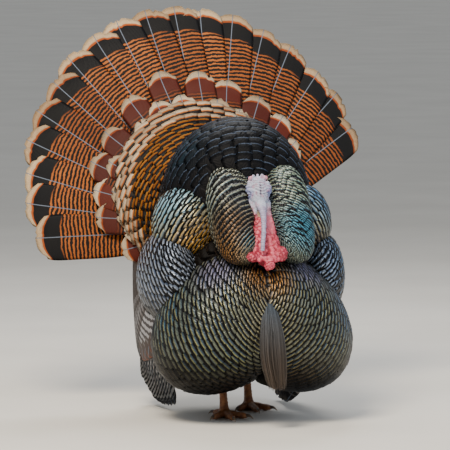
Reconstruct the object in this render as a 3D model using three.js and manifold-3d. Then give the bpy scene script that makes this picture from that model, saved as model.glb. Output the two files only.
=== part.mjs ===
// A strutting wild turkey tom, life size, as a still museum model.
// Millimetres, +Z up. The bird faces -Y, its right side is towards -X, and the floor is Z = 0.
// The middle of the body is X = 0 while it is built; at the end the whole bird is shifted so that
// the origin lies on the floor under the centre of its box.
import * as THREE from 'three';
import { mergeVertices } from 'three/addons/utils/BufferGeometryUtils.js';
import Module from 'manifold-3d';

const wasm = await Module();
wasm.setup();

// ---------------------------------------------------------------- driving dimensions
const GAP = 0.3; // clear space between pieces that touch
const RAD = Math.PI / 180;

const BOX_CENTRE = { x: -40.7, y: 33.2 }; // middle of the finished bird's box, seen from above

// Tail fan: a shallow cone of 18 rectrices round one pivot over the pygostyle.
const FAN = {
  pivot: new THREE.Vector3(0, 193, 334),
  lean: 15, // degrees back from upright
  roll: 18.5, // degrees towards the bird's right
  halfSpread: 77.3, // degrees from the middle shaft to either edge
  feathers: 18,
  midLength: 452, // pivot to tip of the middle pair
  edgeLoss: 0.24, // share of that length lost by the outermost pair
  roundness: 1.5, // how late that loss sets in
  notch: 13, // depth of the scallop between two tips
  bend: 14, // how far the tips curl back
  thickness: 3.2,
  ridge: 1.6, // height of each shaft over the vane edges
  slack: 1, // room that the flat facets of two curved panels need between them
};
const COVERTS = { midLength: 312, edgeLoss: 0.3, halfSpread: 82, tipDepth: 4, rootDepth: 96 };
const UNDERTAIL = { length: 215, halfSpread: 58, rootDepth: 46 };

// Feathered hulls of the trunk, each an egg: centre and half-sizes.
const BELLY = { at: [0, 40, 238], half: [165, 186, 155] };
const RUMP = { at: [0, 126, 338], half: [116, 84, 96] };
const MANTLE = { at: [-2, 35, 395], half: [142, 128, 163] };
// Lobes in pairs. foot is how far the lower end of one stands outwards and forwards of its middle,
// and aside is how far both stand towards the left.
const BREAST = { at: [43, -85, 191], half: [138, 140, 139], foot: [45, 0] };
const RUFF = { at: [52, -100, 388], half: [44, 62, 88], foot: [0, 60], square: 2.6, aside: 10 };
const SHOULDER = { at: [107, -2, 360], half: [64, 86, 77] };
const WING_COVERTS = { at: [138, 4, 262], half: [58, 112, 92] };

// Head: long axis pitched down, crown turned forwards.
const HEAD = { at: new THREE.Vector3(0, -126, 429), pitch: 63, length: 32, width: 21.5, depth: 25 };
const EYE = { radius: 6.4, side: 17.2, along: 1, up: 4 };
const BILL = { length: 39, root: 8.6 };

const SNOOD = { root: [0, -162, 400], middle: [-5, -190, 364], tip: [-12, -209, 330], radius: 6.4 };
const BEARD = { width: 25, depth: 8 };

// Legs: where each foot stands, and the shank's slant back to the hock.
const FEET = { left: [34, 75], right: [-40, -30] };
const SHANK = { height: 96, slant: 27, radius: 8.2 };
const TOE = { middle: 66, side: 52, hind: 26, root: 8.2, tip: 5.4, spread: 36, height: 7 };
const CLAW = { length: 19, root: 4.2 };
const SPUR = { length: 24, root: 5.2, height: 52 };

// Drooped wing: its feathers fan from the wrist beside the body. The lowest ones, which hang
// steepest, are shorter and fold in towards the body.
const WRIST = { y: -85, z: 268 };
const WING_REACH = 394; // from the wrist to where the wing has come back in
const WING_FOLD = { from: 31, to: 62, depth: 32 };
const SECONDARIES = { from: 0, to: 62, lengths: [288, 322, 150], longest: 0.5, count: 7, thickness: 5 };
const PRIMARIES = {
  from: 36,
  to: 58,
  lengths: [366, 374, 304],
  longest: 0.35,
  count: 7,
  thickness: 5,
  tuck: 7,
};

const COLOURS = {
  bronze: 0x4f4a34,
  black: 0x23222a,
  blueGrey: 0x5d7386,
  chestnut: 0x9a4a24,
  rufous: 0xb9683a,
  brown: 0x4a3a30,
  skin: 0xc2c6da,
  red: 0xd9566b,
  horn: 0xb59a6e,
  beard: 0x4a4540,
  leg: 0x8a5530,
  eye: 0x1c120c,
  claw: 0x3a3028,
};

// ---------------------------------------------------------------- solids
/** Welds a geometry's corners, drops triangles that shrank to a line, and makes it a solid. */
function solidOf(geometry) {
  geometry.deleteAttribute('normal');
  geometry.deleteAttribute('uv');
  const welded = mergeVertices(geometry, 1e-3);
  const index = welded.index.array;
  const kept = [];
  for (let i = 0; i < index.length; i += 3) {
    const [a, b, c] = [index[i], index[i + 1], index[i + 2]];
    if (a !== b && b !== c && c !== a) kept.push(a, b, c);
  }
  const mesh = new wasm.Mesh({
    numProp: 3,
    vertProperties: new Float32Array(welded.attributes.position.array),
    triVerts: new Uint32Array(kept),
  });
  return new wasm.Manifold(mesh);
}

/** Turns a solid back into a geometry with flat shading. */
function geometryOf(solid) {
  const mesh = solid.getMesh();
  const geometry = new THREE.BufferGeometry();
  geometry.setAttribute('position', new THREE.BufferAttribute(mesh.vertProperties, 3));
  geometry.setIndex(new THREE.BufferAttribute(mesh.triVerts, 1));
  geometry.computeVertexNormals();
  return geometry;
}

/** Moves every vertex of a geometry through map(point) and returns the geometry. */
function reshape(geometry, map) {
  const position = geometry.attributes.position;
  const point = new THREE.Vector3();
  for (let i = 0; i < position.count; i += 1) {
    point.fromBufferAttribute(position, i);
    map(point);
    position.setXYZ(i, point.x, point.y, point.z);
  }
  return geometry;
}

/** An egg with its poles fore and aft, grown on all sides by grow. square over 2 makes it boxier. */
function egg(lobe, { mirror = 1, grow = 0, columns = 12, rows = 7 } = {}) {
  const { at, half, foot = [0, 0], square = 2, aside = 0 } = lobe;
  const size = new THREE.Vector3(half[0] + grow, half[1] + grow, half[2] + grow);
  const slope = new THREE.Vector3(-foot[0] * mirror, foot[1], 0);
  const geometry = reshape(new THREE.SphereGeometry(1, columns, rows), (point) => {
    const powers = point.toArray().map((value) => Math.abs(value) ** square);
    point.divideScalar((powers[0] + powers[1] + powers[2]) ** (1 / square));
    const height = point.z;
    point.multiply(size).addScaledVector(slope, height);
  });
  return solidOf(geometry.translate(at[0] * mirror + aside, at[1], at[2]));
}

/** A closed limb along a smooth curve. width and depth give its half-sizes at t from 0 to 1. */
function limb(points, width, depth, { sides = 8, rings = 6, grow = 0, across = [1, 0, 0] } = {}) {
  const curve = new THREE.CatmullRomCurve3(points.map((p) => new THREE.Vector3(...p)));
  const geometry = new THREE.CylinderGeometry(1, 1, 1, sides, rings);
  const side = new THREE.Vector3(...across);
  return solidOf(
    reshape(geometry, (point) => {
      const t = point.y + 0.5;
      const centre = curve.getPoint(t);
      const ahead = curve.getTangent(t);
      const front = new THREE.Vector3().crossVectors(ahead, side).normalize();
      const sideways = new THREE.Vector3().crossVectors(front, ahead).normalize();
      const endwise = grow * (2 * t - 1);
      const x = point.x * (width(t) + grow);
      const z = point.z * (depth(t) + grow);
      point.copy(centre).addScaledVector(sideways, x).addScaledVector(front, -z);
      point.addScaledVector(ahead, endwise);
    }),
  );
}

/** A closed panel: a box bent by place(across 0..1, along 0..1, face 0 or 1). */
function panel(place, { across = 12, along = 5 } = {}) {
  const geometry = new THREE.BoxGeometry(1, 1, 1, across, along, 1);
  return solidOf(
    reshape(geometry, (point) => {
      point.copy(place(point.x + 0.5, point.y + 0.5, point.z + 0.5));
    }),
  );
}

function joined(solids) {
  return solids.reduce((whole, next) => whole.add(next));
}

function cutBy(solid, cutters) {
  return cutters.reduce((left, cutter) => left.subtract(cutter), solid);
}

/** Keeps only what stands on or over the floor. */
function overFloor(solid, floor = 0) {
  const under = new THREE.BoxGeometry(2000, 2000, 400).translate(0, 0, floor - 200);
  return solid.subtract(solidOf(under));
}

/** The largest closed body of a solid that a cut has left in several. */
function largest(solid) {
  const bodies = solid.decompose();
  return bodies.reduce((best, next) => (next.volume() > best.volume() ? next : best));
}

// ---------------------------------------------------------------- tail
/** A point of the fan: angle from its middle in degrees, radius, and depth towards the front. */
function fanPoint(angle, radius, depth) {
  const turn = (angle - FAN.roll) * RAD;
  const lean = FAN.lean * RAD;
  const bent = depth - FAN.bend * (radius / FAN.midLength) ** 2;
  const up = radius * Math.cos(turn);
  return new THREE.Vector3(
    FAN.pivot.x + radius * Math.sin(turn),
    FAN.pivot.y + up * Math.sin(lean) - bent * Math.cos(lean),
    FAN.pivot.z + up * Math.cos(lean) + bent * Math.sin(lean),
  );
}

/** Length of the fan at an angle, before its scallops. */
function fanLength(angle, shape) {
  return shape.midLength * (1 - shape.edgeLoss * Math.abs(angle / FAN.halfSpread) ** FAN.roundness);
}

function tailFan() {
  const columnsPerFeather = 3;
  const root = 30;
  return panel(
    (u, v, face) => {
      const angle = (2 * u - 1) * FAN.halfSpread;
      const across = Math.abs((((u * FAN.feathers) % 1) + 1) % 1 - 0.5) * 2; // 0 shaft, 1 edge
      const edge = u < 1e-6 || u > 1 - 1e-6 ? 1 : across;
      const tip = fanLength(angle, FAN) - FAN.notch * edge ** 3;
      const radius = root + (tip - root) * v;
      const ridge = FAN.ridge * (1 - edge) * v;
      return fanPoint(angle, radius, ridge + face * FAN.thickness - FAN.thickness);
    },
    { across: FAN.feathers * columnsPerFeather, along: 2 },
  );
}

function tailCoverts() {
  return panel(
    (u, v, face) => {
      const angle = (2 * u - 1) * COVERTS.halfSpread;
      const lobes = Math.abs(Math.sin(u * Math.PI * 9));
      const tip = fanLength(angle, COVERTS) + 7 * lobes;
      const radius = 14 + (tip - 14) * v;
      const rise = COVERTS.tipDepth + COVERTS.rootDepth * (1 - v) ** 1.5;
      const back = FAN.ridge + GAP + FAN.slack;
      return fanPoint(angle, radius, face > 0.5 ? back + rise : back);
    },
    { across: 15, along: 3 },
  );
}

function undertailCoverts() {
  return panel(
    (u, v, face) => {
      const angle = (2 * u - 1) * UNDERTAIL.halfSpread;
      const tip = UNDERTAIL.length * (1 - 0.2 * (2 * u - 1) ** 2) + 5 * Math.abs(Math.sin(u * Math.PI * 6));
      const radius = 20 + (tip - 20) * v;
      const rise = 3 + UNDERTAIL.rootDepth * (1 - v) ** 1.4;
      const front = -FAN.thickness - GAP - FAN.slack;
      return fanPoint(angle, radius, face > 0.5 ? front : front - rise);
    },
    { across: 10, along: 2 },
  );
}

/** The trunk's feathered hull, from the belly back to the root of the tail. */
function trunk(grow = 0) {
  return joined([egg(BELLY, { grow, columns: 13, rows: 9 }), egg(RUMP, { grow })]);
}

// ---------------------------------------------------------------- wings
/** A point of a drooped wing: angle below the horizontal, radius from the wrist, and depth. */
function wingPoint(side, angle, radius, depth) {
  const t = radius / WING_REACH;
  const fold = Math.max(0, (angle - WING_FOLD.from) / (WING_FOLD.to - WING_FOLD.from));
  const out = 166 + 112 * t - 152 * t * t - WING_FOLD.depth * Math.min(1, fold) ** 1.5;
  const y = WRIST.y + radius * Math.cos(angle * RAD);
  const z = WRIST.z - radius * Math.sin(angle * RAD);
  return new THREE.Vector3(side * (out + depth), y, z);
}

/** Length of a wing feather, from the first in its row (0) to the last (1). */
function wingLength(along, { lengths: [first, middle, last], longest }) {
  if (along <= longest) return first + ((middle - first) * along) / longest;
  return middle + ((last - middle) * (along - longest)) / (1 - longest);
}

function wingPanel(side, feathers, grow = 0) {
  const root = 40;
  const tuck = feathers.tuck ?? 0;
  return panel(
    (u, v, face) => {
      const along = side > 0 ? u : 1 - u; // keeps the faces turned out on both sides
      const angle = feathers.from + (feathers.to - feathers.from) * along;
      const edge = Math.abs((((along * feathers.count) % 1) + 1) % 1 - 0.5) * 2;
      const length = wingLength(along, feathers);
      const radius = root - grow + (length - 8 * edge ** 2 + grow - root) * v;
      const depth = face > 0.5 ? grow : -feathers.thickness - grow;
      const sideways = grow * (2 * along - 1) * 0.35;
      return wingPoint(side, angle + sideways, radius, depth - tuck);
    },
    { across: feathers.count * 2, along: 2 },
  );
}

// ---------------------------------------------------------------- head and neck
const headTurn = new THREE.Quaternion().setFromAxisAngle(new THREE.Vector3(1, 0, 0), HEAD.pitch * RAD);

/** A point of the head: side, along the bill's direction, and out through the crown. */
function headPoint(side, along, crown) {
  const pitch = HEAD.pitch * RAD;
  return [
    HEAD.at.x + side,
    HEAD.at.y - along * Math.cos(pitch) - crown * Math.sin(pitch),
    HEAD.at.z - along * Math.sin(pitch) + crown * Math.cos(pitch),
  ];
}

/** An egg in the head's own directions: half-sizes across, along and through the crown. */
function headEgg(side, along, crown, half, grow = 0, columns = 10, rows = 6) {
  const geometry = new THREE.SphereGeometry(1, columns, rows);
  geometry.scale(half[0] + grow, half[1] + grow, half[2] + grow);
  geometry.applyQuaternion(headTurn);
  return solidOf(geometry.translate(...headPoint(side, along, crown)));
}

function eyeball(side, grow = 0) {
  const size = [EYE.radius, EYE.radius, EYE.radius];
  return headEgg(side * EYE.side, EYE.along, EYE.up, size, grow, 8, 6);
}

function headBody(grow = 0) {
  const skull = headEgg(0, 0, 0, [HEAD.width, HEAD.length, HEAD.depth], grow);
  const face = headEgg(0, 25, -4, [22, 21, 17], grow);
  const brows = [-1, 1].map((side) => headEgg(side * 13.5, -2, 10, [11.5, 15, 10.5], grow, 7, 5));
  return joined([skull, face, ...brows]);
}

function billHalf(upper, grow = 0) {
  const drop = upper ? 3.2 : -4.2;
  const reach = upper ? BILL.length : BILL.length - 6;
  const hook = upper ? -5 : 0;
  const points = [
    headPoint(0, 30, drop - 1),
    headPoint(0, 30 + reach * 0.55, drop),
    headPoint(0, 30 + reach, drop + hook),
  ];
  const taper = (t) => BILL.root * (1 - 0.86 * t ** 1.5);
  const deep = (t) => (upper ? 5.2 : 3) * (1 - 0.8 * t ** 1.6);
  return limb(points, taper, deep, { sides: 8, rings: 3, grow });
}

function snood(grow = 0) {
  const girth = (t) => SNOOD.radius * (1 - 0.45 * t ** 2);
  return limb([SNOOD.root, SNOOD.middle, SNOOD.tip], girth, girth, { sides: 8, rings: 5, grow });
}

function neck(grow = 0) {
  const points = [
    [0, -62, 300],
    [0, -100, 345],
    [0, -118, 388],
    [0, -108, 434],
  ];
  const girth = (t) => 38 - 17 * t;
  return limb(points, girth, girth, { sides: 8, rings: 3, grow });
}

/** The beaded throat skin under the bill. */
function throat(grow = 0) {
  const points = [
    [0, -134, 390],
    [0, -158, 356],
    [0, -178, 326],
    [0, -186, 307],
  ];
  const wide = (t) => 21.5 + 9.5 * t;
  const deep = (t) => 13 + 6 * t;
  return limb(points, wide, deep, { sides: 8, rings: 3, grow });
}

// The three large caruncles at the foot of the throat: node name, centre and half-sizes.
const CARUNCLES = [
  ['caruncle_right', [-26, -194, 317], [13.2, 12, 10.5]],
  ['caruncle_left', [29, -192, 321], [11, 12, 15.5]],
  ['caruncle_bottom', [2, -205, 301], [10, 9, 9]],
];

function caruncle([, at, half], grow = 0) {
  return egg({ at, half }, { grow, columns: 8, rows: 5 });
}

function beard() {
  const points = [
    [0, -218, 226],
    [0, -234, 180],
    [2, -240, 130],
    [9, -250, 62],
  ];
  const wide = (t) => BEARD.width * (0.42 + 0.62 * Math.sin(Math.PI * Math.min(1, 0.12 + t * 0.75)));
  const deep = (t) => BEARD.depth * (0.6 + 0.6 * Math.sin(Math.PI * t * 0.9));
  return limb(points, wide, deep, { sides: 8, rings: 3 });
}

// ---------------------------------------------------------------- legs
/** A toe with two joint swellings, from the ball of the foot to the root of its claw. */
function toe([x, y], heading, length, root = TOE.root) {
  const [dx, dy] = [Math.sin(heading * RAD), -Math.cos(heading * RAD)];
  const start = 3;
  const points = [0, 0.5, 1].map((t) => {
    const run = start + (length - start) * t;
    return [x + dx * run, y + dy * run, TOE.height - 1.2 * t];
  });
  const girth = (t) => root + (TOE.tip - root) * t + 0.9 * Math.abs(Math.cos(t * Math.PI * 2.5));
  return limb(points, girth, girth, { sides: 6, rings: 1, across: [dy, -dx, 0] });
}

function claw([x, y], heading, length) {
  const [dx, dy] = [Math.sin(heading * RAD), -Math.cos(heading * RAD)];
  const at = (run, z) => [x + dx * run, y + dy * run, z];
  const points = [at(length + GAP, 6.2), at(length + CLAW.length * 0.5, 5.6), at(length + CLAW.length, 1.6)];
  const girth = (t) => CLAW.root * (1 - 0.8 * t);
  return limb(points, girth, girth, { sides: 5, rings: 2, across: [dy, -dx, 0] });
}

/** Headings and lengths of one foot's toes, mirrored for the right foot. */
function toesOf(side) {
  return [
    ['middle', 0, TOE.middle],
    ['outer', side * TOE.spread, TOE.side],
    ['inner', -side * TOE.spread, TOE.side],
    ['hind', 180 - side * 28, TOE.hind],
  ];
}

function foot(name, side) {
  const [x, y] = FEET[name];
  const ball = egg({ at: [x, y, 8], half: [12.5, 14, 10.5] }, { columns: 8, rows: 4 });
  const toes = toesOf(side).map(([, heading, length]) => toe([x, y], heading, length));
  return overFloor(joined([ball, ...toes]));
}

function shank(name, grow = 0) {
  const [x, y] = FEET[name];
  const points = [
    [x, y, 10],
    [x, y + SHANK.slant * 0.5, 10 + SHANK.height * 0.5],
    [x, y + SHANK.slant, 10 + SHANK.height],
  ];
  const girth = (t) => SHANK.radius + 3.4 * Math.exp(-t * 9);
  return limb(points, girth, girth, { sides: 8, rings: 3, grow });
}

function spur(name) {
  const [x, y] = FEET[name];
  const inward = x > 0 ? -1 : 1;
  const foothold = y + SHANK.slant * (SPUR.height / SHANK.height);
  const points = [
    [x + inward * 3, foothold + 4, SPUR.height],
    [x + inward * 6, foothold + 14, SPUR.height + 1],
    [x + inward * 8, foothold + 5 + SPUR.length, SPUR.height + 8],
  ];
  const girth = (t) => SPUR.root * (1 - 0.86 * t);
  return limb(points, girth, girth, { sides: 6, rings: 3 });
}

function thigh(name, grow = 0) {
  const [x, y] = FEET[name];
  const at = [x * 1.15, y * 0.7 + 28, 104];
  return egg({ at, half: [40, 52, 42] }, { grow, columns: 10, rows: 6 });
}

// ---------------------------------------------------------------- the bird
const bird = new THREE.Group();

function addPiece(name, solid, colour, roughness = 0.8) {
  const material = new THREE.MeshStandardMaterial({ color: colour, roughness, metalness: 0 });
  const piece = new THREE.Mesh(geometryOf(largest(solid)), material);
  piece.name = name;
  bird.add(piece);
}

const SIDES = [
  ['left', 1],
  ['right', -1],
];

// Head, from the pieces that keep their whole shape to those that give way to them.
const eyes = SIDES.map(([, side]) => eyeball(side, GAP));
const snoodSpace = snood(GAP);
const headSpace = headBody(GAP);
const billSpace = joined([billHalf(true, GAP), billHalf(false, GAP)]);
const throatSpace = throat(GAP);
const caruncleSpace = CARUNCLES.map((ball) => caruncle(ball, GAP));
const neckSpace = neck(GAP);
const barePieces = [snoodSpace, headSpace, billSpace, throatSpace, ...caruncleSpace];

for (const [name, side] of SIDES) addPiece(`eye_${name}`, eyeball(side), COLOURS.eye, 0.1);
addPiece('snood', snood(), COLOURS.skin, 0.5);
addPiece('head', cutBy(headBody(), [...eyes, snoodSpace]), COLOURS.skin, 0.5);
addPiece('bill_upper', cutBy(billHalf(true), [snoodSpace, headSpace]), COLOURS.horn, 0.4);
addPiece(
  'bill_lower',
  cutBy(billHalf(false), [snoodSpace, headSpace, billHalf(true, GAP)]),
  COLOURS.horn,
  0.4,
);
for (const ball of CARUNCLES) addPiece(ball[0], cutBy(caruncle(ball), [snoodSpace]), COLOURS.red, 0.5);
addPiece(
  'throat',
  cutBy(throat(), [snoodSpace, headSpace, billSpace, ...caruncleSpace]),
  COLOURS.red,
  0.5,
);
addPiece(
  'neck',
  cutBy(neck(), [headSpace, billSpace, snoodSpace, throatSpace, ...caruncleSpace]),
  COLOURS.skin,
  0.5,
);

// Feathered hulls. The mantle and trunk keep their whole shape, and the lobes lie round them.
const mantleSize = { columns: 16, rows: 10 };
const bareSpace = [...barePieces, neckSpace];
const mantleSpace = egg(MANTLE, { ...mantleSize, grow: GAP });
const trunkSpace = trunk(GAP);
addPiece('mantle', cutBy(egg(MANTLE, mantleSize), bareSpace), COLOURS.black);
addPiece('trunk', cutBy(trunk(), [mantleSpace, ...bareSpace]), COLOURS.brown);

const coreSpace = [mantleSpace, trunkSpace];
const breastSpace = [];
const ruffSpace = [];
const shoulderSpace = [];
const wingSpace = [];
for (const [name, mirror] of SIDES) {
  const otherSide = new THREE.BoxGeometry(800, 800, 800).translate(mirror * (GAP / 2 - 400), 0, 200);
  const lobe = egg(BREAST, { mirror, columns: 16, rows: 10 });
  addPiece(
    `breast_${name}`,
    cutBy(lobe, [...coreSpace, ...bareSpace, solidOf(otherSide)]),
    COLOURS.bronze,
  );
  breastSpace.push(egg(BREAST, { mirror, grow: GAP, columns: 16, rows: 10 }));
}
addPiece('beard', cutBy(beard(), breastSpace), COLOURS.beard);
for (const [name, mirror] of SIDES) {
  const nearPieces = [...coreSpace, ...bareSpace, ...breastSpace, ...ruffSpace];
  addPiece(`ruff_${name}`, cutBy(egg(RUFF, { mirror }), nearPieces), COLOURS.blueGrey);
  ruffSpace.push(egg(RUFF, { mirror, grow: GAP }));
}
for (const [name, mirror] of SIDES) {
  const nearPieces = [...coreSpace, ...breastSpace, ...ruffSpace];
  addPiece(`shoulder_${name}`, cutBy(egg(SHOULDER, { mirror }), nearPieces), COLOURS.blueGrey);
  shoulderSpace.push(egg(SHOULDER, { mirror, grow: GAP }));
}
for (const [name, mirror] of SIDES) {
  const nearPieces = [...coreSpace, ...breastSpace, ...shoulderSpace];
  const covertSpace = egg(WING_COVERTS, { mirror, grow: GAP });
  addPiece(`wing_coverts_${name}`, cutBy(egg(WING_COVERTS, { mirror }), nearPieces), COLOURS.blueGrey);
  const hidden = [covertSpace, ...nearPieces];
  addPiece(`secondaries_${name}`, cutBy(wingPanel(mirror, SECONDARIES), hidden), COLOURS.brown);
  const secondarySpace = wingPanel(mirror, SECONDARIES, GAP);
  const primaries = overFloor(wingPanel(mirror, PRIMARIES));
  addPiece(`primaries_${name}`, cutBy(primaries, [secondarySpace, ...hidden]), COLOURS.black);
  wingSpace.push(covertSpace, secondarySpace, wingPanel(mirror, PRIMARIES, GAP));
}

// Tail.
const bodySpace = [...coreSpace, ...wingSpace];
addPiece('tail_coverts', cutBy(tailCoverts(), bodySpace), COLOURS.chestnut);
addPiece('tail_fan', cutBy(tailFan(), bodySpace), COLOURS.rufous);
addPiece('undertail_coverts', cutBy(undertailCoverts(), bodySpace), COLOURS.brown);

// Legs.
for (const [name, side] of SIDES) {
  const above = [trunkSpace, thigh(name, GAP), ...breastSpace];
  addPiece(`thigh_${name}`, cutBy(thigh(name), [trunkSpace, ...breastSpace, ...wingSpace]), COLOURS.brown);
  addPiece(`foot_${name}`, foot(name, side), COLOURS.leg, 0.6);
  const shankPiece = cutBy(shank(name), [...above]);
  addPiece(`shank_${name}`, shankPiece.subtract(joined([foot(name, side)])), COLOURS.leg, 0.6);
  addPiece(`spur_${name}`, cutBy(spur(name), [shank(name, GAP), ...above]), COLOURS.claw, 0.4);
  for (const [toeName, heading, length] of toesOf(side)) {
    const clawSolid = overFloor(claw(FEET[name], heading, length), GAP);
    addPiece(`claw_${toeName}_${name}`, clawSolid, COLOURS.claw, 0.4);
  }
}

bird.position.set(-BOX_CENTRE.x, -BOX_CENTRE.y, 0);

export default bird;
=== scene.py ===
# %% [markdown]
# # A strutting wild turkey, life size
#
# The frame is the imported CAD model: plain hulls of the bird's trunk, breast, wings, tail, head
# and legs, each in its real place. This lesson dresses it. One skin replaces the flesh, and the
# plumage is laid over it feather by feather, as joined meshes, so that every tip has a real edge.
# Everything is in metres, +Z is up, and the bird faces -Y with its right side towards -X.

# %% Load the frame
import math

import bmesh
import bpy
import numpy as np
from mathutils import Matrix, Vector, noise


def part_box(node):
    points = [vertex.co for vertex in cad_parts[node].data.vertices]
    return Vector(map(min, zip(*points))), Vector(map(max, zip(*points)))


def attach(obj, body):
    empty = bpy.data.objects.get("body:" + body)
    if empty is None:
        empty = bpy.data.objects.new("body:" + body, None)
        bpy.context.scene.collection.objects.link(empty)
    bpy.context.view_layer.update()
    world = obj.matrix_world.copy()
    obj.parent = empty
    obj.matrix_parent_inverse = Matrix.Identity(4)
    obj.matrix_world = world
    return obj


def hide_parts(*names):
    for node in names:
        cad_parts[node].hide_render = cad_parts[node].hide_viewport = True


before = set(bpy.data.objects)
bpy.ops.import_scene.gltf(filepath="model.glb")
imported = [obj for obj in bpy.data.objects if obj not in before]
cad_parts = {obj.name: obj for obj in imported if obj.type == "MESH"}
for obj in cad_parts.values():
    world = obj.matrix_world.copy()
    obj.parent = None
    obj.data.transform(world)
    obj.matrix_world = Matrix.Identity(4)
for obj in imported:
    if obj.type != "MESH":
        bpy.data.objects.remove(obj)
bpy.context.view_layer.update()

MM = 0.001
SIDES = ((1, "left"), (-1, "right"))
random = np.random.default_rng(18)

# The seam between the breast lobes is the bird's middle, and the trunk's hull is centred
# 40 mm behind the point that the hulls below are measured from.
middle_x = (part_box("breast_left")[0][0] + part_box("breast_right")[1][0]) / 2
middle_y = (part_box("trunk")[0][1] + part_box("trunk")[1][1]) / 2 - 40 * MM
BIRD = np.array([middle_x, middle_y, 0.0])
print("nodes", len(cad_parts), "middle of the bird", BIRD.round(4))

# %% [markdown]
# A pattern is easier to keep right when every colour is written the way a paint chart gives it,
# in sRGB, and turned to the linear values that a shader wants in one place.

# %% Colours, nodes and finished pieces
def linear(hex_colour):
    """Turns an sRGB hex colour such as C9733B into linear red, green, blue and alpha."""
    channels = [int(hex_colour[i:i + 2], 16) / 255 for i in (0, 2, 4)]
    straight = [c / 12.92 if c <= 0.04045 else ((c + 0.055) / 1.055) ** 2.4 for c in channels]
    return (*straight, 1.0)


BLEND = {"data_type": "RGBA"}  # a Mix node between two colours: factor 0, colours 6 and 7
TINT = {"data_type": "RGBA", "blend_type": "MULTIPLY"}


def add(tree, kind, settings=None, inputs=(), out=0):
    """Adds one node to a tree and returns one of its output sockets.

    Settings are a dict, or just an operation; a ramp's stops are (place, hex colour) pairs.
    Inputs are a list in the node's own order, or a dict by name or number; text is a hex colour."""
    made = tree.nodes.new("ShaderNode" + kind)
    if isinstance(settings, str):
        settings = {"operation": settings}
    for key, value in (settings or {}).items():
        if key == "stops":
            ramp = made.color_ramp
            while len(ramp.elements) < len(value):
                ramp.elements.new(0.5)
            for element, (place, colour) in zip(ramp.elements, value):
                element.position = place
                element.color = linear(colour)
        else:
            setattr(made, key, value)
    for key, value in inputs.items() if isinstance(inputs, dict) else enumerate(inputs):
        if isinstance(value, bpy.types.NodeSocket):
            tree.links.new(value, made.inputs[key])
        else:
            made.inputs[key].default_value = linear(value) if isinstance(value, str) else value
    return made.outputs[out]


def new_finish(name, **surface):
    """Starts a material and returns it with its tree and its Principled shader."""
    material = bpy.data.materials.new(name)
    material.use_nodes = True
    shader = material.node_tree.nodes["Principled BSDF"]
    for key, value in surface.items():
        shader.inputs[key.replace("_", " ")].default_value = value
    return material, material.node_tree, shader


def finished(name, mesh, material, replaces=()):
    """Makes the object of a finished mesh, which rides on the bird's one body."""
    piece = bpy.data.objects.new(name, mesh)
    bpy.context.scene.collection.objects.link(piece)
    mesh.materials.clear()
    mesh.materials.append(material)
    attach(piece, "root")
    if replaces:
        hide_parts(*replaces)
    print(name, len(mesh.vertices), "points", sum(len(p.vertices) - 2 for p in mesh.polygons), "triangles")
    return piece


# %% [markdown]
# ## Floor, light and camera
#
# The bird stands on a plain pale floor in soft light from a large window-like panel, with two
# weaker panels that keep the shaded side readable. The camera looks from a little to the bird's
# right, low and from far away, so that the fan isn't spread by perspective.

# %% Stage
CAMERA_AZIMUTH = math.radians(-14)
CAMERA_ELEVATION = math.radians(5)
CAMERA_DISTANCE = 8.0
IMAGE_WIDTH = 450
METRES_PER_PIXEL = 1.89 * MM
FOOT_PIXEL = (241, 414)  # where the middle of the bird meets the floor in the image
SENSOR_WIDTH = 36.0

to_right = Vector((math.cos(CAMERA_AZIMUTH), math.sin(CAMERA_AZIMUTH), 0))
to_camera = Vector((
    math.sin(CAMERA_AZIMUTH) * math.cos(CAMERA_ELEVATION),
    -math.cos(CAMERA_AZIMUTH) * math.cos(CAMERA_ELEVATION),
    math.sin(CAMERA_ELEVATION),
))
to_top = to_camera.cross(to_right)
aim = Vector(BIRD) + to_right * ((IMAGE_WIDTH / 2 - FOOT_PIXEL[0]) * METRES_PER_PIXEL)
aim += to_top * ((FOOT_PIXEL[1] - IMAGE_WIDTH / 2) * METRES_PER_PIXEL)
lens = bpy.data.cameras.new("camera")
lens.sensor_width = SENSOR_WIDTH
lens.lens = SENSOR_WIDTH * CAMERA_DISTANCE / (IMAGE_WIDTH * METRES_PER_PIXEL)
lens.clip_end = 100
camera = bpy.data.objects.new("camera", lens)
camera.location = aim + to_camera * CAMERA_DISTANCE
camera.rotation_euler = to_camera.to_track_quat("Z", "Y").to_euler()
bpy.context.scene.collection.objects.link(camera)
bpy.context.scene.camera = camera

floor_mesh = bpy.data.meshes.new("floor")
floor_shape = bmesh.new()
bmesh.ops.create_grid(floor_shape, x_segments=1, y_segments=1, size=30)
floor_shape.to_mesh(floor_mesh)
floor_shape.free()
# Matt painted board: almost no shine, with a very faint cloudiness.
floor_paint, tree, shader = new_finish("matt_floor_paint", Roughness=0.9)
place = add(tree, "TexCoord", out=3)
clouds = add(tree, "TexNoise", {}, {"Vector": place, "Scale": 3.0})
tone = add(tree, "ValToRGB", {"stops": [(0.3, "DEDAD2"), (0.7, "E6E2DA")]}, {"Fac": clouds})
tree.links.new(tone, shader.inputs["Base Color"])
floor_mesh.materials.append(floor_paint)
floor = bpy.data.objects.new("floor", floor_mesh)
bpy.context.scene.collection.objects.link(floor)

world = bpy.data.worlds.new("studio")
bpy.context.scene.world = world
world.use_nodes = True
world.node_tree.nodes["Background"].inputs["Color"].default_value = linear("E4E9EE")
world.node_tree.nodes["Background"].inputs["Strength"].default_value = 0.50


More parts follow.
